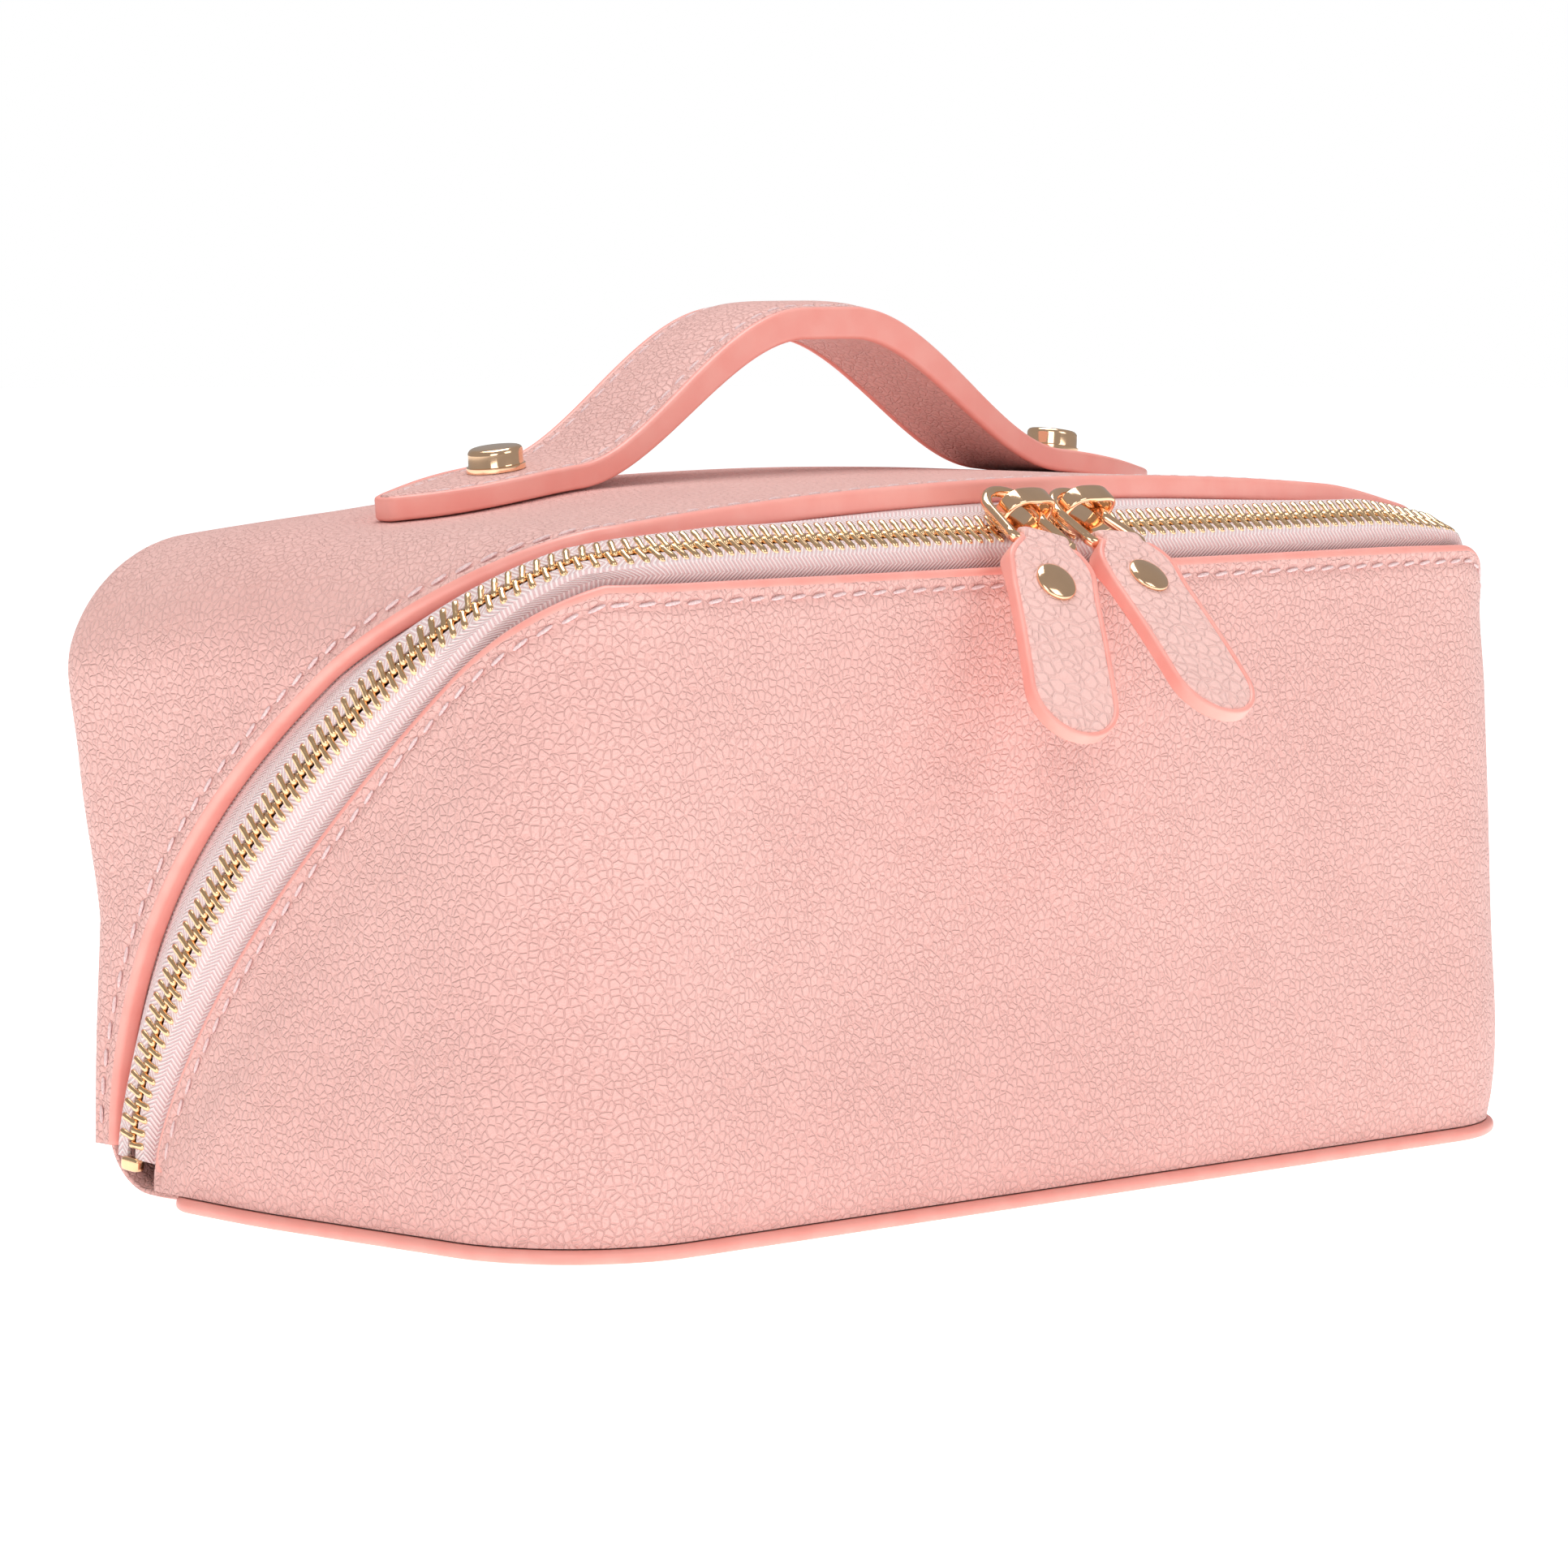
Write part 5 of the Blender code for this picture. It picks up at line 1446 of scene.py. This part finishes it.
def strap_leather():
    x = HANDLE_HALF * 0.993 * np.sin(np.linspace(-math.pi / 2, math.pi / 2, 260))
    low, thick, normal = strap_frame(x)
    half = strap_width(x) / 2 - 0.7 * MM
    puff = 0.5 * MM + 0.7 * MM * strap_lift(x)
    rings = []
    for k in range(len(x)):
        flat = closed_evenly(rounded_section(2 * half[k], thick[k] - 0.3 * MM, 0.8 * MM, 5), 88)
        across, up = flat[:, 0], flat[:, 1] + thick[k] / 2
        near = np.clip(1 - (across / half[k]) ** 2, 0.0, 1.0)
        inside = (flat[:, 1] > 0)
        seam = 0.35 * MM * np.exp(-((half[k] - np.abs(across) - 2.3 * MM) / (0.7 * MM)) ** 2)
        up = up + np.where(inside, puff[k] * near ** 0.7 - seam, 0.15 * MM * near)
        middle = np.array((x[k], HANDLE_BACK, low[k]))
        rings.append(middle + up[:, None] * normal[k] + across[:, None] * np.array((0.0, 1.0, 0.0)))
    return rings_piece("handle_leather", np.stack(rings), LEATHER, "lid", slot="leather",
                       replaces=["handle_strap"])


def strap_side(x, inset):
    """Points along the strap's near side, that far in from its edge."""
    low, thick, normal = strap_frame(x)
    half = strap_width(x) / 2 - inset
    path = np.column_stack((x, HANDLE_BACK - half, low))
    return path, thick, normal


def strap_paint():
    """One closed band of paint round the whole outline of the strap."""
    x = HANDLE_HALF * np.sin(np.linspace(-math.pi / 2, math.pi / 2, 420))
    near, thick, normal = strap_side(x, 0.75 * MM)
    far = near * (1, -1, 1) + (0, 2 * HANDLE_BACK, 0)
    path = np.vstack((near, far[::-1]))
    path += np.vstack((normal, normal[::-1])) * (np.hstack((thick, thick[::-1])) / 2)[:, None]
    up, high = np.vstack((normal, normal[::-1])), np.hstack((thick, thick[::-1]))
    step = running_length(np.vstack((path, path[:1])))
    at = np.linspace(0.0, step[-1], 641)[:-1]

    def along_loop(values):
        values = np.vstack((values, values[:1]))
        return np.column_stack([np.interp(at, step, values[:, k]) for k in range(values.shape[1])])

    path, up, high = along_loop(path), unit(along_loop(up)), along_loop(high[:, None])[:, 0]
    path[:, 0] = np.clip(path[:, 0], 0.75 * MM - HANDLE_HALF, HANDLE_HALF - 0.75 * MM)
    section = np.stack([rounded_section(1.7 * MM, h + 0.1 * MM, 0.75 * MM, 6) for h in high])
    rings = along_path(path, up, section, closed=True)
    return rings_piece("handle_edge_paint", rings, PAINT, "lid", closed=True)


def strap_stitches():
    """A row of stitches along both edges, on the padded top."""
    x = np.linspace(-HANDLE_HALF + 8 * MM, HANDLE_HALF - 8 * MM, 900)
    path, thick, normal = strap_side(x, 3.0 * MM)
    half = strap_width(x) / 2 - 0.7 * MM
    near = np.clip(1 - ((strap_width(x) / 2 - 3.0 * MM) / half) ** 2, 0.0, 1.0)
    rise = thick - 0.15 * MM + (0.5 * MM + 0.7 * MM * strap_lift(x)) * near ** 0.7 - 0.33 * MM
    path = path + normal * rise[:, None]
    runs = running_length(path)
    wanted = np.arange(2 * MM, runs[-1] - 2 * MM, 4.3 * MM)
    centres, up = at_runs(path, runs, wanted), unit(at_runs(normal, runs, wanted))
    along = unit(at_runs(unit(np.gradient(path, axis=0)), runs, wanted))
    flip = np.array((1.0, -1.0, 1.0))
    far = centres * flip + (0, 2 * HANDLE_BACK, 0)
    centres = np.vstack((centres, far))
    up, along = (np.vstack((way, way * flip)) for way in (up, along))
    points, faces = beads(centres, along, np.cross(up, along), up, 1.45 * MM, 0.33 * MM, 0.33 * MM)
    return facing_out(shown("handle_stitches", points, faces, THREAD, "lid"))


strap_leather()
strap_paint()
strap_stitches()

# %% [markdown]
# Two turned rivets fix the strap: a drum head with a slightly wider foot and a rounded rim, on a thin shank.
# They stand square on the arched lid, so each one tips outwards a little.

# %% Handle rivets
RIVET_AT, RIVET_RADIUS, RIVET_HEIGHT = 69 * MM, 5 * MM, 3.9 * MM


def handle_rivet(side, sign):
    tilt = math.asin(RIVET_AT / CROWN_RADIUS) * sign
    origin = np.array((sign * RIVET_AT, HANDLE_BACK, float(crown_z(RIVET_AT))))
    up, along = np.array((math.sin(tilt), 0, math.cos(tilt))), np.array((math.cos(tilt), 0, -math.sin(tilt)))
    head = 2 * GAP + 4 * MM
    top = head + RIVET_HEIGHT
    drum, rim = 0.93 * RIVET_RADIUS, 0.9 * MM
    a = np.linspace(math.pi / 2, 0.0, 7)
    profile = [(0.06 * MM, top + 0.1 * MM), (0.5 * drum, top + 0.06 * MM), (drum - rim, top)]
    profile += [(drum - rim + rim * math.cos(b), top - rim + rim * math.sin(b)) for b in a[1:]]
    profile += [(drum, head + 1.15 * MM), (drum + 0.06 * MM, head + 0.95 * MM),
                (RIVET_RADIUS, head + 0.85 * MM), (RIVET_RADIUS + 0.02 * MM, head + 0.6 * MM),
                (RIVET_RADIUS, head), (1.6 * MM, head - 0.1 * MM), (1.6 * MM, -8 * MM),
                (0.06 * MM, -8.1 * MM)]

    def place(rings):
        return origin + rings[..., :1] * along + rings[..., 1:2] * np.array((0, 1, 0)) + rings[..., 2:] * up

    return turned("strap_rivet_" + side, profile, place, GOLD, "lid", slot="gold",
                  replaces=["handle_rivet_" + side], sharp=50)


handle_rivet("left", -1)
handle_rivet("right", 1)

# %% [markdown]
# The case stands on a plain white floor in a white room. The camera sees a pure white background, while the
# room's own light is softer, so the metal has something darker to mirror. Broad lamps at the left, the right
# and above give gentle shades without hard shadows.

# %% Floor, lamps and room


def floor():
    """A wide disc under the case."""
    a = np.linspace(0.0, 2 * math.pi, 64, endpoint=False)
    points = np.vstack([np.column_stack((r * np.cos(a), r * np.sin(a), np.full(64, -0.1 * MM)))
                        for r in (0.2, 6.0)])
    faces = [[64 + j, 64 + (j + 1) % 64, (j + 1) % 64, j] for j in range(64)] + [list(range(64))]
    f = Finish("white floor", roughness=0.6, emission_color=(1.0, 1.0, 1.0, 1.0), emission_strength=0.80)
    grain = f.noise(f.place(), 40.0, 2.0)
    f.set(**{"Base Color": f.blend(grain, (0.90, 0.90, 0.90, 1.0), (0.92, 0.92, 0.92, 1.0))})
    made = shown("floor", points, faces, f.material, None)
    return made


def lamp(name, place, aim, power, size):
    """A square area lamp that faces a point."""
    light = bpy.data.lights.new(name, "AREA")
    light.energy, light.size = power, size
    made = bpy.data.objects.new(name, light)
    bpy.context.scene.collection.objects.link(made)
    made.location = place
    made.rotation_euler = (Vector(aim) - Vector(place)).to_track_quat("-Z", "Y").to_euler()
    return made


def room():
    """White to the camera, and a softer grey, the same from every side, for the light on the case."""
    world = bpy.data.worlds.new("room")
    bpy.context.scene.world = world
    world.use_nodes = True
    tree = world.node_tree
    tree.nodes.clear()
    rays, out = tree.nodes.new("ShaderNodeLightPath"), tree.nodes.new("ShaderNodeOutputWorld")
    seen, lit = tree.nodes.new("ShaderNodeBackground"), tree.nodes.new("ShaderNodeBackground")
    both = tree.nodes.new("ShaderNodeMixShader")
    seen.inputs["Strength"].default_value = 1.0
    seen.inputs["Color"].default_value = (1.0, 1.0, 1.0, 1.0)
    lit.inputs["Color"].default_value = (1.0, 1.0, 1.0, 1.0)
    lit.inputs["Strength"].default_value = 0.36
    tree.links.new(rays.outputs["Is Camera Ray"], both.inputs[0])
    tree.links.new(lit.outputs[0], both.inputs[1])
    tree.links.new(seen.outputs[0], both.inputs[2])
    tree.links.new(both.outputs[0], out.inputs[0])


floor()
room()
AIM = (0.0, 0.0, 70 * MM)
lamp("left window", (-1.2, -0.9, 0.6), AIM, 4.0, 0.7)
lamp("right window", (0.2, -1.5, 0.9), AIM, 4.3, 0.8)
lamp("overhead", (0.1, 0.3, 1.5), AIM, 15.0, 1.0)
bpy.context.scene.view_settings.view_transform = "Standard"
print("lamps ready")

# %% [markdown]
# The camera stands low at the front left corner, about 1.2 m away with a long lens, and looks slightly down.
# The lens is worked out from how large the case should sit in the frame.

# %% Camera
CAMERA_AT = (-0.843, -0.816, 0.162)
CAMERA_TURN, CAMERA_DIP = 45.32, 4.66


def camera():
    data = bpy.data.cameras.new("camera")
    data.sensor_width, data.lens = 36.0, 154.8
    data.shift_x = 0.0135
    data.clip_start, data.clip_end = 0.05, 20.0
    made = bpy.data.objects.new("camera", data)
    bpy.context.scene.collection.objects.link(made)
    made.location = CAMERA_AT
    made.rotation_euler = (math.radians(90 - CAMERA_DIP), 0.0, math.radians(-CAMERA_TURN))
    bpy.context.scene.camera = made


camera()
